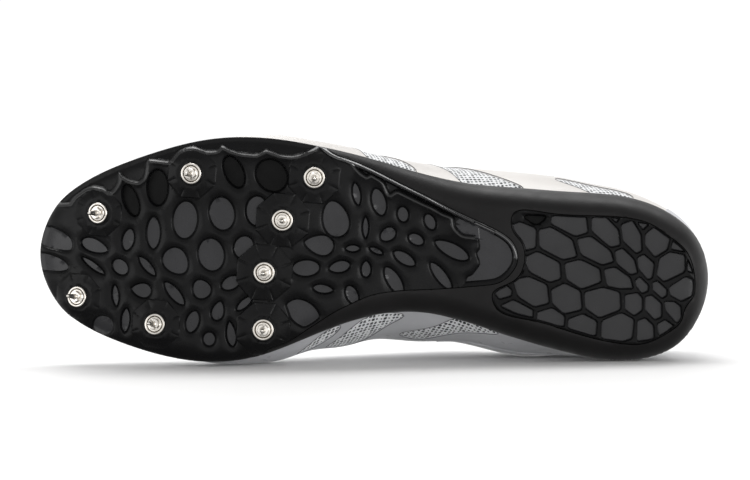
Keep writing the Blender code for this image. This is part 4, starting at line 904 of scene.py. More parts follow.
def build_heel_pad():
    border = pad_loop(0.45, 160)
    notch = resample(rounded(PAD_NOTCH, 2), 0.6)
    cells = heel_cells()
    loops = [offset(border, d) for d in (-0.2, 0.05, 0.35, 0.75)]
    for c in cells:
        for d in (-0.35, -0.1, 0.15, 0.45, 0.8):
            loops.append(offset(c, d))
    loops += [offset(notch, d) for d in (-0.1, 0.2, 0.5)]
    points = lattice(2, 92, 2.2, 30)
    edge = pad_loop(0.0, 220)
    loops += [pad_loop(0.3, 220), pad_loop(0.6, 220)]

    def depth(x, y):
        rec = np.zeros(x.shape)
        deep = np.full(x.shape, -9.0)
        b = depth_in(border, x, y)
        for c in cells:
            lo, hi = c.min(0) - 1, c.max(0) + 1
            near = (x > lo[0]) & (x < hi[0]) & (y > lo[1]) & (y < hi[1])
            if near.any():
                d = np.minimum(depth_in(c, x[near], y[near]), b[near])
                rec[near] = np.maximum(rec[near], boundary_recess(d, CELL_DEPTH, 0.75, 0.22, 0.7))
                deep[near] = np.maximum(deep[near], d)
        d = depth_in(notch, x, y)
        rec = np.maximum(rec, boundary_recess(d, 3.0, 0.9, 0.22, 0.7))
        return rec, deep, d

    def low(x, y):
        rec, _, _ = depth(x, y)
        e = depth_in(edge, x, y)
        side = 0.4 * smooth(1 - e / 0.6)
        return ground(x) + stack(x) * edge_rise(x, y) - 0.3 + rec + side

    verts, faces, n = thick_skin(edge, loops, [], points, low, lambda x, y: ground(x) + PAD_THICK)
    v = np.asarray(verts)
    mid = v[np.array(faces[:n])].mean(1)
    _, deep, notch_d = depth(mid[:, 0], mid[:, 1])
    index = np.zeros(len(faces), int)
    # the notch's floor takes the near-black material: painted shade in the deep pocket
    index[:n] = np.where(notch_d > 0.2, 2, np.where(deep > 0.12, 1, 0))
    return verts, faces, index


# ------------------------------------------------------------------ the spikes
def lathe(profile, count, wobble=None):
    verts, faces, rings = [], [], []
    for k, (r, h) in enumerate(profile):
        if r < 1e-6:
            rings.append([len(verts)])
            verts.append((0, 0, h))
            continue
        ring = []
        for i in range(count):
            a = 2 * math.pi * i / count
            rr = r if wobble is None else wobble(k, a, r)
            ring.append(len(verts))
            verts.append((rr * math.cos(a), rr * math.sin(a), h))
        rings.append(ring)
    for a, b in zip(rings[:-1], rings[1:]):
        for i in range(count):
            j = (i + 1) % count
            if len(a) == 1:
                faces.append((a[0], b[i], b[j]))
            elif len(b) == 1:
                faces.append((a[i], b[0], a[j]))
            else:
                faces.append((a[i], b[i], b[j], a[j]))
    return np.array(verts, float), faces


def spike_body():
    """Flange, rounded hexagon body with two wrench notches, stepped cone, pin."""
    prof = [(0, -0.2), (3.1, -0.2), (3.15, -1.1), (3.0, -1.3), (2.5, -1.36), (2.42, -1.5), (2.34, -2.9),
            (2.2, -3.10), (1.36, -3.17), (1.22, -3.3), (1.16, -4.3), (1.06, -5.3), (0.99, -5.6), (0.92, -5.8),
            (0.86, -7.9), (0.76, -8.6), (0.56, -9.0), (0.3, -9.13), (0, -9.15)]

    def shape(k, a, r):
        if 4 <= k <= 7:
            s = math.pi / 3
            hexr = r * 0.97 / math.cos((a + s / 2) % s - s / 2)
            r = min(hexr, r * 1.03)
            off = abs((a - 0.4 + math.pi / 2) % math.pi - math.pi / 2)
            r -= 0.75 * max(0.0, 1 - (off / 0.30) ** 4) if k >= 5 else 0.0
        return r
    return lathe(prof, 72, shape)


def seat_body():
    ring = [(3.45, -0.2), (4.4, -0.2), (4.42, -0.95), (4.36, -1.17), (4.22, -1.27), (3.66, -1.27), (3.53, -1.18), (3.46, -0.95)]
    count = 64
    verts, faces = [], []
    for r, h in ring:
        for i in range(count):
            a = 2 * math.pi * i / count
            verts.append((r * math.cos(a), r * math.sin(a), h))
    n = len(ring)
    for k in range(n):
        m = (k + 1) % n
        for i in range(count):
            j = (i + 1) % count
            faces.append((k * count + i, m * count + i, m * count + j, k * count + j))
    return np.array(verts, float), faces


def spike_frame(k):
    x, y, radius, lean = SPIKES[k]
    slope = float(ground(x + 0.5) - ground(x - 0.5))
    turn = (Matrix.Rotation(-math.atan(slope), 3, "Y") @ Matrix.Rotation(math.radians(lean), 3, "X")
            @ Matrix.Rotation(math.radians(37 * k), 3, "Z"))
    return np.array(turn), np.array([x, y, float(ground(x)) - BOSS_RISE])


# ------------------------------------------------------------------- the upper
def upper_ribs():
    knots, rows = [], []
    for side, x, out, rise, sx, sy, sz, ex, ey, ez in UPPER:
        knots.append(station(side, x))
        rows.append((out, rise, sx, sy, sz, ex, ey, ez))
    return closed_spline(knots, rows)


_ribs = upper_ribs()


def upper_surface(u, v):
    u, v = np.broadcast_arrays(np.asarray(u, float), np.asarray(v, float))
    r = _ribs(u.ravel()).reshape(u.shape + (8,))
    f2 = inset(u, FEATHER_INSET)
    n = outward(u)
    fz = sole_top(f2[..., 0]) + GAP
    foot = np.stack([f2[..., 0], f2[..., 1], fz], -1)
    h1 = foot + np.stack([n[..., 0] * r[..., 0], n[..., 1] * r[..., 0], r[..., 1]], -1)
    h2, end = r[..., 2:5], r[..., 5:8]
    t = v[..., None]
    return ((1 - t) ** 3 * foot + 3 * t * (1 - t) ** 2 * h1
            + 3 * t * t * (1 - t) * h2 + t ** 3 * end)


def upper_normal(u, v):
    u, v = np.broadcast_arrays(np.asarray(u, float), np.asarray(v, float))
    e = 0.004
    du = upper_surface(u + e, v) - upper_surface(u - e, v)
    lo, hi = np.clip(v - 0.01, 0, 1), np.clip(v + 0.01, 0, 1)
    dv = upper_surface(u, hi) - upper_surface(u, lo)
    n = np.cross(du, dv)
    return n / np.linalg.norm(n, axis=-1, keepdims=True)


def wall_at(u, v):
    edge = _ribs(np.asarray(u, float).ravel()).reshape(np.shape(u) + (8,))[..., 5]
    collar = 1.0 - smooth((edge - 85.0) / 30.0)
    return WALL + (COLLAR_WALL - WALL) * collar * smooth((np.asarray(v) - 0.45) / 0.45)


# unrolled sizes of the upper: right round, and from the sole to the opening
ROUND, HIGH = 720.0, 84.0


def creases(u, v):
    """Soft folds where the forefoot bends, and slight slack in the quarters."""
    p = upper_surface(u, v)
    x = p[..., 0]
    flex = np.exp(-((x - 196) / 11.0) ** 2) * smooth((v - 0.25) / 0.3) * smooth((1.0 - v) / 0.15)
    fold = 0.55 * np.sin((x - 190) / 4.6 + 0.02 * p[..., 1] ** 2 * 0.12) * flex
    slack = 0.35 * np.sin(u * 61 + v * 5) * np.sin(u * 37 + 1.7) * smooth(v / 0.2) * smooth((1 - v) / 0.2)
    lateral = smooth((0.5 - u) / 0.02) * smooth(v / 0.15) * smooth((0.9 - v) / 0.4)
    medial = smooth((u - 0.5) / 0.02) * smooth(v / 0.10) * smooth((0.75 - v) / 0.35)
    ripple = 0.55 * np.sin(x / 5.2 - 9.0 * v + 0.6) * medial * np.exp(-((x - 140) / 48.0) ** 4)
    full = 1.9 * np.exp(-((x - 172) / 26.0) ** 4) + 1.4 * np.exp(-((x - 24) / 20.0) ** 4)
    return fold + 0.6 * slack + full * lateral + ripple


def on_upper(u, v, h):
    u, v = np.broadcast_arrays(np.asarray(u, float), np.asarray(v, float))
    soft = creases(u, v)
    return upper_surface(u, v) + upper_normal(u, v) * (np.asarray(h) + soft - 0.45)[..., None]


def build_upper():
    nu, nv = ((400, 46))
    u = np.arange(nu) / nu
    v = np.linspace(0, 1, nv)
    uu, vv = np.meshgrid(u, v, indexing="ij")
    outer = on_upper(uu, vv, 0.0)
    outer[:, 0, 2] -= 0.35
    n = upper_normal(uu, vv)
    inner = upper_surface(uu, vv) - n * (wall_at(uu, vv) - 0.25)[..., None]
    inner[:, 0, 2] = outer[:, 0, 2]
    verts = np.concatenate([outer.reshape(-1, 3), inner.reshape(-1, 3)])
    # the mesh's map: along the shoe, and down from the centre line over the side
    seam = on_upper(np.zeros(60), np.linspace(0, 1, 60), 0.0)
    order = np.argsort(seam[:, 0])
    away = np.abs(outer[..., 1] - np.interp(outer[..., 0], seam[order, 0], seam[order, 1]))
    down = outer[..., 2] - away
    step = np.hypot(np.diff(outer[..., 1], axis=1), np.diff(outer[..., 2], axis=1))
    for i, k in enumerate(away.argmax(1)):
        down[i, :k] = down[i, k] - step[i, :k][::-1].cumsum()[::-1]
    uv = np.concatenate([np.stack([outer[..., 0].ravel(), down.ravel()], 1),
                         np.stack([uu.ravel() * ROUND, vv.ravel() * HIGH], 1)])
    faces, index = [], []
    off = nu * nv
    for i in range(nu):
        j = (i + 1) % nu
        for k in range(nv - 1):
            a, b, c, d = i * nv + k, j * nv + k, j * nv + k + 1, i * nv + k + 1
            faces.append((a, b, c, d))
            # lateral faces take the plain mesh, medial faces the copy with painted light, the top row the lining
            index.append(2 if k == nv - 2 else 0 if u[i] < 0.5 else 1)
            faces.append((off + a, off + d, off + c, off + b))
            index.append(2)
        faces.append((i * nv, off + i * nv, off + j * nv, j * nv))
        index.append(2)
        faces.append((i * nv + nv - 1, j * nv + nv - 1, off + j * nv + nv - 1, off + i * nv + nv - 1))
        index.append(2)
    return verts, faces, index, uv


def curve_uv(points, step=1.6, close=True):
    """Smooth closed curve in unrolled millimetres through (u, v) points."""
    p = np.array(points, float) * [ROUND, HIGH]
    if close:
        return resample(smooth_loop(p, 60 + 4 * len(p)), step)
    return p


def overlay(name, outer, holes, mat, thick=0.38, lift=0.05, step=3.2, round_edge=0.7):
    """Film panel fused to the upper: outer and holes are loops in unrolled mm."""
    loops = [outer] + list(holes)
    rings = []
    for k, loop in enumerate(loops):
        side = 1 if k == 0 else -1
        rings += [offset(loop, side * 0.22), offset(loop, side * round_edge)]
    lo, hi = outer.min(0), outer.max(0)
    pts = [(a, b) for i, a in enumerate(np.arange(lo[0], hi[0], step))
           for b in np.arange(lo[1] + (i % 2) * step / 2, hi[1], step)]
    xy, tri = plan(loops + rings, [], pts, 1e-4)
    mid = xy[tri].mean(1)
    ok = inside(outer, mid[:, 0], mid[:, 1])
    for h in holes:
        ok &= ~inside(h, mid[:, 0], mid[:, 1])
    tri = tri[ok]
    used = np.unique(tri)
    back = np.full(len(xy), -1)
    back[used] = np.arange(len(used))
    tri, xy = back[tri], xy[used]
    d = depth_in(outer, xy[:, 0], xy[:, 1])
    for h in holes:
        lo, hi = h.min(0) - 3, h.max(0) + 3
        near = (xy[:, 0] > lo[0]) & (xy[:, 0] < hi[0]) & (xy[:, 1] > lo[1]) & (xy[:, 1] < hi[1])
        d[near] = np.minimum(d[near], -depth_in(h, xy[near, 0], xy[near, 1]))
    t = np.clip(d / round_edge, 0, 1)
    height = lift - 0.05 + (thick - lift + 0.05) * np.sqrt(np.clip(1 - (1 - t) ** 2, 0, 1))
    u, v = xy[:, 0] / ROUND, np.clip(xy[:, 1] / HIGH, 0, 1)
    top = on_upper(u, v, height)
    low = on_upper(u, v, np.full(len(u), -0.25))
    n = len(xy)
    verts = np.concatenate([top, low])
    edges = np.concatenate([tri[:, [0, 1]], tri[:, [1, 2]], tri[:, [2, 0]]])
    _, first, count = np.unique(np.sort(edges, 1), axis=0, return_index=True, return_counts=True)
    rim = edges[first[count == 1]]
    faces = [tuple(t) for t in tri] + [tuple(t[::-1] + n) for t in tri] + [(a + n, b + n, b, a) for a, b in rim]
    return piece(name, verts, faces, [mat], uv=np.concatenate([xy, xy]), angle=50)


def sweep(path, radius, count=10, flat=1.0, normals=None):
    """Closed tube along a path; flat squeezes it along the given normals."""
    path = np.asarray(path, float)
    t = np.gradient(path, axis=0)
    t /= np.maximum(np.linalg.norm(t, axis=1, keepdims=True), 1e-9)
    if normals is None:
        normals = np.tile([0.0, 0.0, 1.0], (len(path), 1))
    b = np.cross(t, normals)
    b /= np.maximum(np.linalg.norm(b, axis=1, keepdims=True), 1e-9)
    n = np.cross(b, t)
    a = np.arange(count) * 2 * math.pi / count
    r = np.broadcast_to(np.asarray(radius, float), (len(path),))
    ring = (b[:, None, :] * (np.cos(a)[None, :, None]) + n[:, None, :] * (np.sin(a)[None, :, None]) * flat)
    verts = (path[:, None, :] + ring * r[:, None, None]).reshape(-1, 3)
    faces = []
    for i in range(len(path) - 1):
        for k in range(count):
            m = (k + 1) % count
            faces.append((i * count + k, i * count + m, (i + 1) * count + m, (i + 1) * count + k))
    faces.append(tuple(range(count))[::-1])
    faces.append(tuple((len(path) - 1) * count + k for k in range(count)))
    return verts, faces


def stitches(name, path_uv, mat, pitch=2.6, length=1.9, radius=0.28, height=0.35):
    """Row of thread stitches lying on the upper along an unrolled path."""
    p = resample_open(path_uv, pitch / 2)
    verts, faces = [], []
    for k in range(0, len(p) - 1, 2):
        a, b = p[k], p[k + 1]
        q = np.linspace(0, 1, 5)[:, None]
        line = a + (b - a) * q * length / pitch * 2 * 0.98
        bow = height * np.sin(np.linspace(0, math.pi, 5)) - 0.1
        u, v = line[:, 0] / ROUND, np.clip(line[:, 1] / HIGH, 0, 1)
        pts = on_upper(u, v, bow + 0.25)
        nn = upper_normal(u, v)
        vv, ff = sweep(pts, radius, 6, 1.0, nn)
        faces += [tuple(i + len(verts) * 1 for i in f) for f in ff]
        verts += vv.tolist()
    return piece(name, np.array(verts), faces, [mat], uv=np.zeros((len(verts), 2)), angle=60)


# =================================================================== materials
web_black = moulded("web_black_plastic", (0.0028, 0.0028, 0.0030), (0.0055, 0.0055, 0.0060), 0.22, 0.36, spec=0.17, grain_scale=1500.0)
web_gloss = moulded("web_rim_plastic", (0.0035, 0.0035, 0.0038), (0.0070, 0.0070, 0.0075), 0.28, 0.40, spec=0.62, grain_scale=900.0, depth=0.00005)
bead_gloss = moulded("bead_plastic", (0.006, 0.006, 0.0065), (0.012, 0.012, 0.013), 0.12, 0.18, spec=1.0, grain_scale=700.0, depth=0.00002, coat=1.0, wave=0.00005, coat_rough=0.10)
floor_grey = moulded("window_floor_plastic", (0.016, 0.016, 0.0178), (0.026, 0.026, 0.0287), 0.22, 0.32, spec=0.38, grain_scale=600.0, depth=0.00002, wave=0.00008)
# near-black material laid in the deep windows, the heel notch and the eyelet holes: painted shade
painted_shade_black = moulded("painted_shade_plastic", (0.002, 0.002, 0.002), (0.004, 0.004, 0.004), 0.45, 0.6, spec=0.15)
foam_black = moulded("midsole_black_foam", (0.0072, 0.0068, 0.0069), (0.0112, 0.0106, 0.0108), 0.40, 0.52, spec=0.20, grain_scale=1900.0)
heel_black = moulded("heel_black_rubber", (0.0028, 0.0028, 0.0030), (0.0052, 0.0052, 0.0056), 0.24, 0.36, spec=0.13, grain_scale=1500.0)
heel_floor = moulded("heel_cell_rubber", (0.015, 0.015, 0.0163), (0.023, 0.023, 0.0247), 0.26, 0.36, spec=0.40, grain_scale=800.0, depth=0.00003, wave=0.0001)
spike_metal = steel("plated_spike_steel")
mesh_light = open_mesh("light_engineered_mesh", (0.85, 0.86, 0.87), (0.016, 0.017, 0.019))
# medial copy of the same mesh: its yarn is lighter than the lateral copy, painted light standing in for light the
# shaded medial side lacks
mesh_medial_brightened = open_mesh("medial_mesh_painted_light", (0.93, 0.94, 0.95), (0.012, 0.013, 0.015))
film_cream = film("cream_film", (0.645, 0.617, 0.588), (0.705, 0.677, 0.648))
film_silver = film("silver_grey_film", (0.46, 0.463, 0.485), (0.56, 0.565, 0.585), rough=0.33)
lining_cloth = cloth("inner_lining_cloth", (0.30, 0.30, 0.31), (0.50, 0.50, 0.51))
collar_cloth = cloth("collar_padded_cloth", (0.48, 0.48, 0.49), (0.72, 0.72, 0.73), pitch=0.0011)
tongue_cloth = cloth("tongue_padded_cloth", (0.55, 0.55, 0.55), (0.78, 0.78, 0.78), pitch=0.0012)
insole_cloth = cloth("insole_brushed_cloth", (0.03, 0.03, 0.032), (0.075, 0.075, 0.08), pitch=0.0010)
lace_cloth = cloth("lace_woven_cord", (0.52, 0.52, 0.52), (0.86, 0.86, 0.86), pitch=0.0007, depth=0.00014)
thread_light = cloth("stitch_thread", (0.62, 0.61, 0.58), (0.80, 0.79, 0.76), pitch=0.0005)
# dark cloth for the thin line round the mesh windows: painted shadow at the film's edge
film_edge_shadow_cloth = cloth("film_edge_painted_shadow", (0.07, 0.07, 0.075), (0.13, 0.13, 0.14), pitch=0.0005)

# ====================================================================== pieces
v_, f_, i_ = build_plate()
piece("forefoot_plate", v_, f_, [web_black, floor_grey, painted_shade_black, web_gloss, bead_gloss], ["spike_plate"], index=i_, angle=32)

v_, f_, _ = build_midsole()
piece("midsole_body", v_, f_, [foam_black], ["midsole"], angle=45)

v_, f_, i_ = build_heel_pad()
piece("heel_honeycomb", v_, f_, [heel_black, heel_floor, painted_shade_black], ["heel_outsole"], index=i_, angle=32)

sb, sf = spike_body()
rb, rf = seat_body()
for k in range(8):
    turn, place = spike_frame(k)
    piece("pin_%d" % (k + 1), sb @ turn.T + place, sf, [spike_metal], ["spike_%d" % (k + 1)], angle=30)
    piece("seat_ring_%d" % (k + 1), rb @ turn.T + place, rf, [spike_metal], ["spike_seat_%d" % (k + 1)], angle=40)

v_, f_, i_, uv_ = build_upper()
piece("mesh_upper", v_, f_, [mesh_light, mesh_medial_brightened, lining_cloth], ["upper"], index=i_, uv=uv_, angle=60, fix=False)


def rect_uv(u0, u1, v0, v1):
    """Outline in unrolled mm, with points all along its sides."""
    a = [(u, v0) for u in np.linspace(u0, u1, 160)] + [(u1, v) for v in np.linspace(v0, v1, 24)][1:]
    a += [(u, v1) for u in np.linspace(u1, u0, 160)][1:] + [(u0, v) for v in np.linspace(v1, v0, 24)][1:-1]
    return np.array(a) * [ROUND, HIGH]


LAT_HOLES = [
    [(0.2520, 0.0), (0.2650, -0.02), (0.2790, 0.02), (0.2700, 0.16), (0.2480, 0.36), (0.2330, 0.44), (0.2290, 0.38), (0.2400, 0.16)],
    [(0.3130, 0.0), (0.3260, -0.02), (0.3490, 0.02), (0.3350, 0.14), (0.3080, 0.35), (0.2900, 0.44), (0.2850, 0.38), (0.3010, 0.15)],
    [(0.3960, 0.02), (0.4080, 0.0), (0.4200, 0.05), (0.4120, 0.18), (0.3900, 0.30), (0.3740, 0.33), (0.3720, 0.27), (0.3850, 0.14)],
    [(0.025, 0.36), (0.07, 0.33), (0.12, 0.34), (0.17, 0.40), (0.205, 0.50), (0.212, 0.66), (0.19, 0.80), (0.14, 0.84),
     (0.08, 0.83), (0.035, 0.76), (0.018, 0.60)],
    [(0.36, 0.56), (0.39, 0.50), (0.425, 0.50), (0.44, 0.60), (0.43, 0.74), (0.40, 0.80), (0.37, 0.74)],
]
MED_HOLES = [
    [(0.8020, 0.205), (0.7960, 0.215), (0.7850, 0.165), (0.7715, 0.075), (0.7690, 0.030), (0.7790, 0.040), (0.7915, 0.105)],
    [(0.7830, 0.300), (0.7720, 0.345), (0.7560, 0.270), (0.7370, 0.115), (0.7270, 0.045), (0.7370, 0.020), (0.7520, 0.030), (0.7690, 0.135)],
    [(0.7290, 0.265), (0.7180, 0.300), (0.7040, 0.235), (0.6890, 0.150), (0.6700, 0.075), (0.6640, 0.040), (0.6780, 0.015), (0.6930, 0.020), (0.7060, 0.120)],
    [(0.975, 0.36), (0.93, 0.33), (0.88, 0.35), (0.83, 0.42), (0.795, 0.52), (0.788, 0.66), (0.81, 0.80), (0.86, 0.84),
     (0.92, 0.83), (0.965, 0.76), (0.982, 0.60)],
    [(0.64, 0.56), (0.61, 0.50), (0.575, 0.50), (0.56, 0.60), (0.57, 0.74), (0.60, 0.80), (0.63, 0.74)],
]


def hole(points):
    return resample(smooth_loop(np.array(points, float) * [ROUND, HIGH], 120), 1.5)


overlay("film_lateral", rect_uv(0.0001, 0.4999, 0.004, 0.992), [hole(h) for h in LAT_HOLES], film_cream)
overlay("film_medial", rect_uv(0.5001, 0.9999, 0.004, 0.992), [hole(h) for h in MED_HOLES], film_silver)

# toe guard and heel counter fused on top
overlay("toe_guard", resample(smooth_loop(np.array(
    [(-0.060, 0.03), (-0.02, 0.02), (0.02, 0.02), (0.060, 0.03), (0.068, 0.12), (0.045, 0.24), (0.015, 0.30), (-0.015, 0.30),
     (-0.045, 0.24), (-0.068, 0.12)]) * [ROUND, HIGH], 160), 1.6), [], film_silver, thick=0.75, lift=0.35)
overlay("heel_counter_film", resample(smooth_loop(np.array(
    [(0.446, 0.03), (0.48, 0.02), (0.52, 0.02), (0.554, 0.03), (0.556, 0.14), (0.535, 0.34), (0.520, 0.62), (0.512, 0.90),
     (0.500, 0.965), (0.488, 0.90), (0.480, 0.62), (0.465, 0.34), (0.444, 0.14)]) * [ROUND, HIGH], 180), 1.6), [],
    film_silver, thick=0.75, lift=0.35)

# a fine dark tube runs round every mesh window: a painted shadow line along the film's edge
shadow_line_v, shadow_line_f = [], []
for side_holes in (LAT_HOLES, MED_HOLES):
    for h in side_holes:
        ring = offset(hole(h), -0.35)
        ring = np.concatenate([ring, ring[:1]])
        ring[:, 1] = np.maximum(ring[:, 1], 0.2)
        ru, rv = ring[:, 0] / ROUND, np.clip(ring[:, 1] / HIGH, 0, 1)
        a_, b_ = sweep(on_upper(ru, rv, 0.32), 0.17, 6, 1.0, upper_normal(ru, rv))
        shadow_line_f += [tuple(i + len(shadow_line_v) for i in f) for f in b_]
        shadow_line_v += a_.tolist()
piece("mesh_window_shadow_lines", np.array(shadow_line_v), shadow_line_f, [film_edge_shadow_cloth], uv=np.zeros((len(shadow_line_v), 2)), angle=60)

# piping line low on the medial quarter, then stitch rows
pipe = np.array([(0.700, 0.318), (0.6861, 0.310), (0.6706, 0.285), (0.645, 0.262), (0.62, 0.250), (0.59, 0.262), (0.565, 0.285)]) * [ROUND, HIGH]
pipe = resample_open(smooth_loop(np.concatenate([pipe, pipe[::-1] + [0, 0.01]]), 200)[:100], 1.5)
pu, pv = pipe[:, 0] / ROUND, pipe[:, 1] / HIGH
vv_, ff_ = sweep(on_upper(pu, pv, 0.45), 0.55, 10, 0.8, upper_normal(pu, pv))
piece("medial_piping", vv_, ff_, [film_silver], uv=np.zeros((len(vv_), 2)), angle=60)


def throat_line(side, v):
    a, b = (station("lat", 200), station("lat", 104)) if side == "lat" else (station("med", 104), station("med", 200))
    return np.array([(u, v) for u in np.linspace(a, b, 60)]) * [ROUND, HIGH]


for side in ("lat", "med"):
    for k, v in enumerate((0.965, 0.80)):
        stitches("eyestay_stitch_%s_%d" % (side, k + 1), throat_line(side, v), thread_light, height=0.42)
collar_u = np.linspace(station("lat", 96), station("med", 96), 120)
stitches("collar_stitch", np.array([(u, 0.93) for u in collar_u]) * [ROUND, HIGH], thread_light, height=0.42)

# ------------------------------------------------------------- collar padding
def build_collar():
    u = np.linspace(station("lat", 112), station("med", 112), 200)
    verts, uv = [], []
    rows = 26
    for k, uu in enumerate(u):
        s = k / (len(u) - 1)
        full = smooth(min(s, 1 - s) / 0.10)
        wall = float(wall_at(np.array([uu]), np.array([1.0]))[0])
        e = on_upper(np.array([uu]), np.array([1.0]), 0.0)[0]
        nrm = upper_normal(np.array([uu]), np.array([0.985]))[0]
        down = upper_surface(np.array([uu]), np.array([0.93]))[0] - upper_surface(np.array([uu]), np.array([1.0]))[0]
        down /= np.linalg.norm(down)
        ring = []
        half = wall / 2 + 0.55
        centre = e - nrm * (wall / 2 - 0.1)
        # outer face, over the rim, then down the padded inside and back
        outside = [(4.2, half - 0.1), (3.0, half + 0.25), (1.4, half + 0.45)]
        for dn, off in outside:
            ring.append(centre + down * dn + nrm * off)
        for a in np.linspace(0, math.pi, 8):
            ring.append(centre + nrm * (half + 0.45) * math.cos(a) - down * 1.5 * math.sin(a))
        reach = 9.0 + 13.0 * full
        for t in np.linspace(0.12, 1.0, 12):
            v = 1.0 - t * reach / HIGH
            q = upper_surface(np.array([uu]), np.array([v]))[0]
            m = upper_normal(np.array([uu]), np.array([v]))[0]
            w = float(wall_at(np.array([uu]), np.array([v]))[0])
            puff = (0.9 + 3.0 * full * math.sin(math.pi * min(t * 1.05, 1.0)) ** 0.7) * (1 - 0.8 * smooth((t - 0.85) / 0.15))
            ring.append(q - m * (w + puff))
        for t in (1.0, 0.6, 0.2):
            v = 1.0 - t * reach / HIGH
            q = upper_surface(np.array([uu]), np.array([v]))[0]
            m = upper_normal(np.array([uu]), np.array([v]))[0]
            ring.append(q - m * 0.9)
        verts += ring
        uv += [(uu * ROUND, 2.0 * r) for r in range(len(ring))]
    n = len(ring)
    faces = []
    for k in range(len(u) - 1):
        for i in range(n):
            j = (i + 1) % n
            faces.append((k * n + i, k * n + j, (k + 1) * n + j, (k + 1) * n + i))
    faces.append(tuple(range(n)))
    faces.append(tuple((len(u) - 1) * n + i for i in range(n))[::-1])
    return np.array(verts), faces, np.array(uv)


v_, f_, uv_ = build_collar()
collar = piece("collar_padding", v_, f_, [collar_cloth], uv=uv_, angle=60)


# --------------------------------------------------------------------- tongue
def coarse_upper(nu=80, nv=16):
    u = np.arange(nu) / nu
    v = np.linspace(0, 1, nv) ** 1.05
    uu, vv = np.meshgrid(u, v, indexing="ij")
    outer = upper_surface(uu, vv)
    n = upper_normal(uu, vv)
    flat = n[:, 0].copy()
    flat[:, 2] = 0.0
    flat /= np.linalg.norm(flat, axis=1, keepdims=True)
    n[:, 0] = flat
    inner = outer - n * wall_at(uu, vv)[..., None]
    verts = np.concatenate([outer.reshape(-1, 3), inner.reshape(-1, 3)])
    faces, off = [], nu * nv
    for i in range(nu):
        j = (i + 1) % nu
        for k in range(nv - 1):
            a, b, c, d = i * nv + k, j * nv + k, j * nv + k + 1, i * nv + k + 1
            faces.append((a, b, c, d))
            faces.append((off + a, off + d, off + c, off + b))
    return BVHTree.FromPolygons([Vector(p) for p in verts], faces)


def roof(tree, x, y, down=True):
    start, way = (Vector((x, y, 200)), Vector((0, 0, -1))) if down else (Vector((x, y, 44)), Vector((0, 0, 1)))
    hit = tree.ray_cast(start, way)
    return None if hit[0] is None else hit[0].z


def build_tongue(tree):
    rows = []
    for x, yc, half, drop, thick, crown in TONGUE:
        limit = crown
        for dy in np.linspace(-half, half, 25):
            z = roof(tree, x, yc + dy, down=False)
            if z is not None:
                limit = min(limit, z + drop * (dy / half) ** 2 - 1.0)
        rows.append((x, yc, half, drop, thick, limit))
    rows = np.array(rows)
    s = np.arange(len(rows))
    t = np.linspace(0, len(rows) - 1, 90)
    fine = np.stack([np.interp(t, s, rows[:, k]) for k in range(6)], 1)
    # ease the joins between the rows
    for _ in range(6):
        fine[1:-1] = (fine[:-2] + 2 * fine[1:-1] + fine[2:]) / 4
    count = 41
    verts, uv = [], []
    for k, (x, yc, half, drop, thick, zc) in enumerate(fine):
        end = smooth(k / 5.0) * smooth((len(fine) - 1 - k) / 6.0) * 0.85 + 0.15
        near = min(k, len(fine) - 1 - k) / 9.0
        half = half * (0.60 + 0.40 * math.sqrt(1.0 - (1.0 - min(1.0, near)) ** 2))
        q = np.linspace(-1, 1, count)
        pad = (1 - np.abs(q) ** 5) * end
        chan = 0.35 * np.exp(-((np.abs(q) - 0.55) / 0.035) ** 2)
        topz = zc - drop * q * q - 0.45 - 0.5 * (1 - pad) - chan * pad
        lowz = zc - drop * q * q - 0.6 - (thick - 0.7) * pad
        verts += [(x, yc + half * a * 0.985, z) for a, z in zip(q, topz)]
        verts += [(x, yc + half * a * 0.975, z) for a, z in zip(q[::-1], lowz[::-1])]
        uv += [(x, half * a) for a in q] + [(x, half * a + 80) for a in q[::-1]]
    n = 2 * count
    faces = []
    for k in range(len(fine) - 1):
        for i in range(n):
            j = (i + 1) % n
            faces.append((k * n + i, k * n + j, (k + 1) * n + j, (k + 1) * n + i))
    for base in (0, (len(fine) - 1) * n):
        for i in range(count - 1):
            faces.append((base + i, base + i + 1, base + n - 2 - i, base + n - 1 - i))
    return np.array(verts), faces, np.array(uv)


cage = coarse_upper()
v_, f_, uv_ = build_tongue(cage)
tongue = piece("tongue_pad", v_, f_, [tongue_cloth], ["tongue"], uv=uv_, angle=60)
tongue_tree = BVHTree.FromPolygons([Vector(p) for p in v_], f_)

# --------------------------------------------------------------------- insole
def build_insole():
    keep = inset(np.arange(300) / 300, FEATHER_INSET + WALL + 1.5)
    pts = []
    for d in (4.6, 5.2, 6.0, 7.0, 8.4, 10.0):
        pts += inset(np.arange(200) / 200, d).tolist()
    pts += lattice(0, 285, 5.0)

    def top(x, y):
        e = edge_distance(x, y)
        cup = 1.2 * np.exp(-np.clip(e - 4.0, 0, None) / 3.0)
        lip = 0.5 * smooth(1 - (e - 4.2) / 0.8)
        return sole_top(x) + GAP + INSOLE_THICK + cup - lip
    return thick_skin(keep, [], [], pts, lambda x, y: sole_top(x) + GAP + 0.1, top)


v_, f_, _ = build_insole()
piece("sock_liner", v_, f_, [insole_cloth], ["insole"], uv=np.asarray(v_)[:, :2], angle=50)

# ---------------------------------------------------------------------- laces
grid_u = np.linspace(0, 1, 361)[:-1]
grid_v = np.linspace(0, 1, 61)
gu, gv = np.meshgrid(grid_u, grid_v, indexing="ij")
gp = on_upper(gu, gv, 0.45).reshape(-1, 3)
gf = [(i * 61 + k, (i + 1) % 360 * 61 + k, (i + 1) % 360 * 61 + k + 1, i * 61 + k + 1) for i in range(360) for k in range(60)]
skin_tree = BVHTree.FromPolygons([Vector(p) for p in gp], gf)


def throat_edge(side, x):
    rows = sorted((r[7], r[8]) for r in UPPER if r[0] == side and r[7] > 105)
    return float(np.interp(x, [r[0] for r in rows], [r[1] for r in rows]))


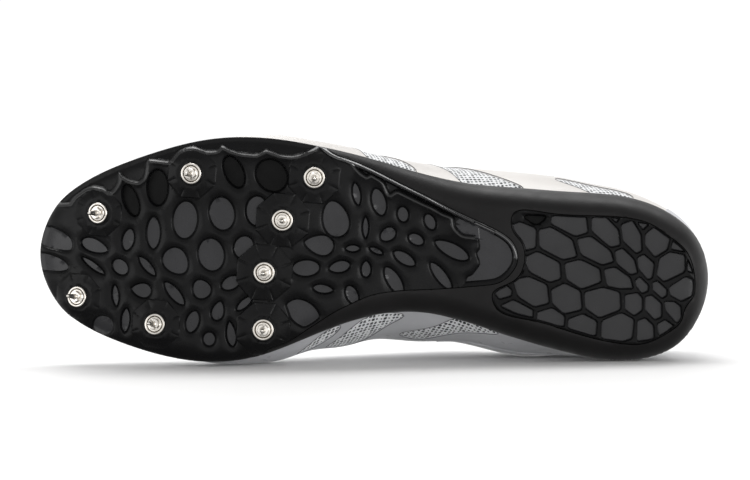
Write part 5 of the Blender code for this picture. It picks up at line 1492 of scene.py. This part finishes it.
def eyelet(side, x):
    y = throat_edge(side, x) + (EYELET_IN if side == "lat" else -EYELET_IN)
    hit = skin_tree.ray_cast(Vector((x, y, 200)), Vector((0, 0, -1)))
    n = hit[1] if hit[1].z > 0 else -hit[1]
    return np.array(hit[0]), np.array(n)


def lace_run(a, na, b, nb, over, dip=3.0):
    """Flat lace from one eyelet to another, bowed over the tongue."""
    d = (b - a) / np.linalg.norm(b - a)
    pts = [a - na * dip, a - na * 0.9 + d * 0.3, a + na * 0.9 + d * 1.3, a + na * 1.1 + d * 3.2]
    for t in (0.35, 0.5, 0.65):
        p = a * (1 - t) + b * t
        zt = max([h for h in (roof(tongue_tree, p[0], p[1]), roof(skin_tree, p[0], p[1])) if h is not None] + [p[2]])
        p = np.array([p[0], p[1], max(p[2] + 1.0, zt + 0.9) + over * (1.0 if t == 0.5 else 0.55)])
        pts.append(p)
    pts += [b + nb * 1.1 - d * 3.2, b + nb * 0.9 - d * 1.3, b - nb * 0.9 - d * 0.3, b - nb * dip]
    pts = np.array(pts)
    s = np.concatenate([[0], np.cumsum(np.linalg.norm(np.diff(pts, axis=0), axis=1))])
    t = np.linspace(0, s[-1], 72)
    out = np.stack([np.interp(t, s, pts[:, k]) for k in range(3)], 1)
    for _ in range(8):
        out[1:-1] = (out[:-2] + 2 * out[1:-1] + out[2:]) / 4
    mid = np.array([0.0, 0.0, 1.0])
    nn = np.array([na * max(0, 1 - 2 * q) + nb * max(0, 2 * q - 1) + mid * (1 - abs(2 * q - 1)) for q in t / s[-1]])
    # the tape's face turns to the front and back where it dives
    tang = np.gradient(out, axis=0)
    tang /= np.linalg.norm(tang, axis=1, keepdims=True)
    face = nn - tang * (nn * tang).sum(1)[:, None]
    weak = np.linalg.norm(face, axis=1) < 0.35
    face[weak] = np.where(tang[weak][:, 2:3] > 0, -d, d)
    face /= np.linalg.norm(face, axis=1, keepdims=True)
    width = 2.25 * (0.62 + 0.38 * smooth(np.minimum(t, s[-1] - t) / 5.0))
    return out, face, width


lace_v, lace_f, lace_uv = [], [], []


def add_lace(path, face, width):
    tang = np.gradient(path, axis=0)
    tang /= np.linalg.norm(tang, axis=1, keepdims=True)
    b = np.cross(tang, face)
    b /= np.linalg.norm(b, axis=1, keepdims=True)
    count = 14
    a = np.arange(count) * 2 * math.pi / count
    ca, sa = np.cos(a), np.sin(a)
    prof = np.stack([np.sign(ca) * np.abs(ca) ** 0.7, np.sign(sa) * np.abs(sa) ** 0.8 * 0.30], 1)
    base = len(lace_v)
    s = np.concatenate([[0], np.cumsum(np.linalg.norm(np.diff(path, axis=0), axis=1))])
    for k in range(len(path)):
        for m in range(count):
            lace_v.append(path[k] + b[k] * prof[m, 0] * width[k] + face[k] * prof[m, 1] * 2.25)
            lace_uv.append((s[k], prof[m, 0] * width[k] + (0 if prof[m, 1] >= 0 else 20)))
    for k in range(len(path) - 1):
        for m in range(count):
            j = (m + 1) % count
            lace_f.append((base + k * count + m, base + k * count + j, base + (k + 1) * count + j, base + (k + 1) * count + m))
    lace_f.append(tuple(base + m for m in range(count))[::-1])
    lace_f.append(tuple(base + (len(path) - 1) * count + m for m in range(count)))


holes = {(s, x): eyelet(s, x) for s in ("lat", "med") for x in EYELETS}
(a, na), (b, nb) = holes["med", EYELETS[0]], holes["lat", EYELETS[0]]
add_lace(*lace_run(a, na, b, nb, 0.2))
for k in range(len(EYELETS) - 1):
    x0, x1 = EYELETS[k], EYELETS[k + 1]
    (a, na), (b, nb) = holes["med", x0], holes["lat", x1]
    add_lace(*lace_run(a, na, b, nb, 0.2 if k % 2 else 1.9))
    (a, na), (b, nb) = holes["lat", x0], holes["med", x1]
    add_lace(*lace_run(a, na, b, nb, 1.9 if k % 2 else 0.2))
piece("lace", np.array(lace_v), lace_f, [lace_cloth],
      ["lace_bar_1"] + ["lace_cross_%d" % k for k in range(1, 6)], uv=np.array(lace_uv), angle=60)

# eyelets: a low ring of film round each punched hole, with a black disc inside it as painted shade
ring_v, ring_f, dark_v, dark_f = [], [], [], []
for (s, x), (p, n) in holes.items():
    t1 = np.cross(n, [0.3, 1.0, 0.1])
    t1 /= np.linalg.norm(t1)
    t2 = np.cross(n, t1)
    prof = [(2.2, -0.5), (2.2, 0.15), (2.35, 0.42), (2.8, 0.5), (3.3, 0.32), (3.5, -0.1), (3.5, -0.5)]
    base, cnt = len(ring_v), 32
    for r, h in prof:
        for i in range(cnt):
            an = 2 * math.pi * i / cnt
            ring_v.append(p + t1 * r * math.cos(an) + t2 * r * math.sin(an) + n * h)
    for k in range(len(prof)):
        m = (k + 1) % len(prof)
        for i in range(cnt):
            j = (i + 1) % cnt
            ring_f.append((base + k * cnt + i, base + k * cnt + j, base + m * cnt + j, base + m * cnt + i))
    # the black disc and short tube in the hole: painted shade
    base = len(dark_v)
    for h in (0.05, -0.6):
        for i in range(cnt):
            an = 2 * math.pi * i / cnt
            dark_v.append(p + t1 * 2.3 * math.cos(an) + t2 * 2.3 * math.sin(an) + n * h)
    dark_f.append(tuple(base + i for i in range(cnt)))
    dark_f.append(tuple(base + cnt + i for i in range(cnt))[::-1])
    for i in range(cnt):
        j = (i + 1) % cnt
        dark_f.append((base + i, base + cnt + i, base + cnt + j, base + j))
piece("eyelet_rings", np.array(ring_v), ring_f, [film_silver], uv=np.zeros((len(ring_v), 2)), angle=50)
piece("eyelet_hole_painted_shade", np.array(dark_v), dark_f, [painted_shade_black], angle=40)

# ================================================================ floor, light
def stage():
    m, ns, ls, bsdf = new_material("pale_floor")
    co = ns.new("ShaderNodeTexCoord").outputs["Object"]
    ls.new(ramp(ns, ls, grain(ns, ls, co, 6.0, 3.0), [(0.3, (0.90, 0.896, 0.892)), (0.7, (0.93, 0.926, 0.922))]), bsdf.inputs["Base Color"])
    ls.new(level(ns, ls, grain(ns, ls, co, 9.0, 3.0), 0.52, 0.58, 0.3, 0.7), bsdf.inputs["Roughness"])
    bsdf.inputs["Specular IOR Level"].default_value = 0.2
    verts = [(-14.0, -14.0, 0.0), (14.0, -14.0, 0.0), (14.0, 14.0, 0.0), (-14.0, 14.0, 0.0)]
    faces = [(0, 1, 2, 3)]
    mesh = bpy.data.meshes.new("floor")
    mesh.from_pydata(verts, [], faces)
    mesh.materials.append(m)
    mesh.shade_smooth()
    ob = bpy.data.objects.new("floor", mesh)
    bpy.context.scene.collection.objects.link(ob)
    ob.visible_glossy = False


stage()


def soft(name, way, wide, power):
    """Broad far light shining from the direction way, wide degrees across."""
    data = bpy.data.lights.new(name, "SUN")
    data.energy = power
    data.angle = math.radians(wide)
    ob = bpy.data.objects.new(name, data)
    bpy.context.scene.collection.objects.link(ob)
    ob.location = Vector(way) * 2.0
    ob.rotation_euler = (-Vector(way)).to_track_quat("-Z", "Y").to_euler()


soft("top_light", (-0.10, 0.44, 1.0), 38, 1.62)
soft("side_light", (0.41, 0.46, 0.79), 24, 0.50)
soft("rear_light", (-0.25, 1.0, 0.62), 34, 0.45)
soft("front_fill", (-0.85, -0.50, 0.12), 34, 0.32)
soft("heel_fill", (0.80, -0.60, 0.08), 34, 0.9)

back = bpy.data.worlds.new("studio")
bpy.context.scene.world = back
back.use_nodes = True
wn, wl = back.node_tree.nodes, back.node_tree.links
high = node(wn, "ShaderNodeSeparateXYZ")
wl.new(wn.new("ShaderNodeTexCoord").outputs["Generated"], high.inputs[0])
shade = ramp(wn, wl, level(wn, wl, high.outputs[2], 0.0, 1.0, -0.5, 0.5),
             [(0.0, (0.22, 0.22, 0.22)), (0.20, (0.44, 0.44, 0.44)), (0.38, (1.06, 1.06, 1.06)), (0.62, (1.06, 1.06, 1.06)), (1.0, (0.48, 0.48, 0.48))])
wl.new(shade, wn["Background"].inputs["Color"])
wl.new(level(wn, wl, high.outputs[0], 0.74, 1.14, -0.9, 0.4), wn["Background"].inputs["Strength"])
bpy.context.scene.view_settings.view_transform = "Standard"

# ==================================================================== camera
# set in the shoe's own frame: the sole is seen 2.5 degrees from above its normal
# and turned 4.25 degrees in the picture, at 0.42 mm a pixel, through a long lens
MM_PER_PX, FAR = 0.42, 1277.8
TURN, ABOVE = math.radians(4.25), math.radians(2.5)
AIM, AIM_DOWN = np.array([140.57, 0.0, 0.0]), 22.5
base = np.array([[-1.0, 0, 0], [0, 0, 1], [0, 1, 0]])
spin = np.array([[math.cos(TURN), 0, math.sin(TURN)], [0, 1, 0], [-math.sin(TURN), 0, math.cos(TURN)]])
to_row = spin @ base
behind = np.array([0, -math.cos(ABOVE), math.sin(ABOVE)])
right = np.array([1.0, 0, 0])
above = np.cross(behind, right)
spot = to_row.T @ (behind * FAR + above * AIM_DOWN * MM_PER_PX) + AIM
axes = [LIE_NP[:3, :3] @ (to_row.T @ a) for a in (right, above, behind)]
cam = bpy.data.cameras.new("camera")
cam.sensor_width = 36.0
cam.sensor_fit = "HORIZONTAL"
cam.lens = 36.0 * (FAR / MM_PER_PX) / 750.0
cam.clip_end = 50.0
camera = bpy.data.objects.new("camera", cam)
bpy.context.scene.collection.objects.link(camera)
mat = Matrix.Identity(4)
for k in range(3):
    for r in range(3):
        mat[r][k] = axes[k][r]
where = world(spot)
for r in range(3):
    mat[r][3] = where[r]
camera.matrix_world = mat
bpy.context.scene.camera = camera
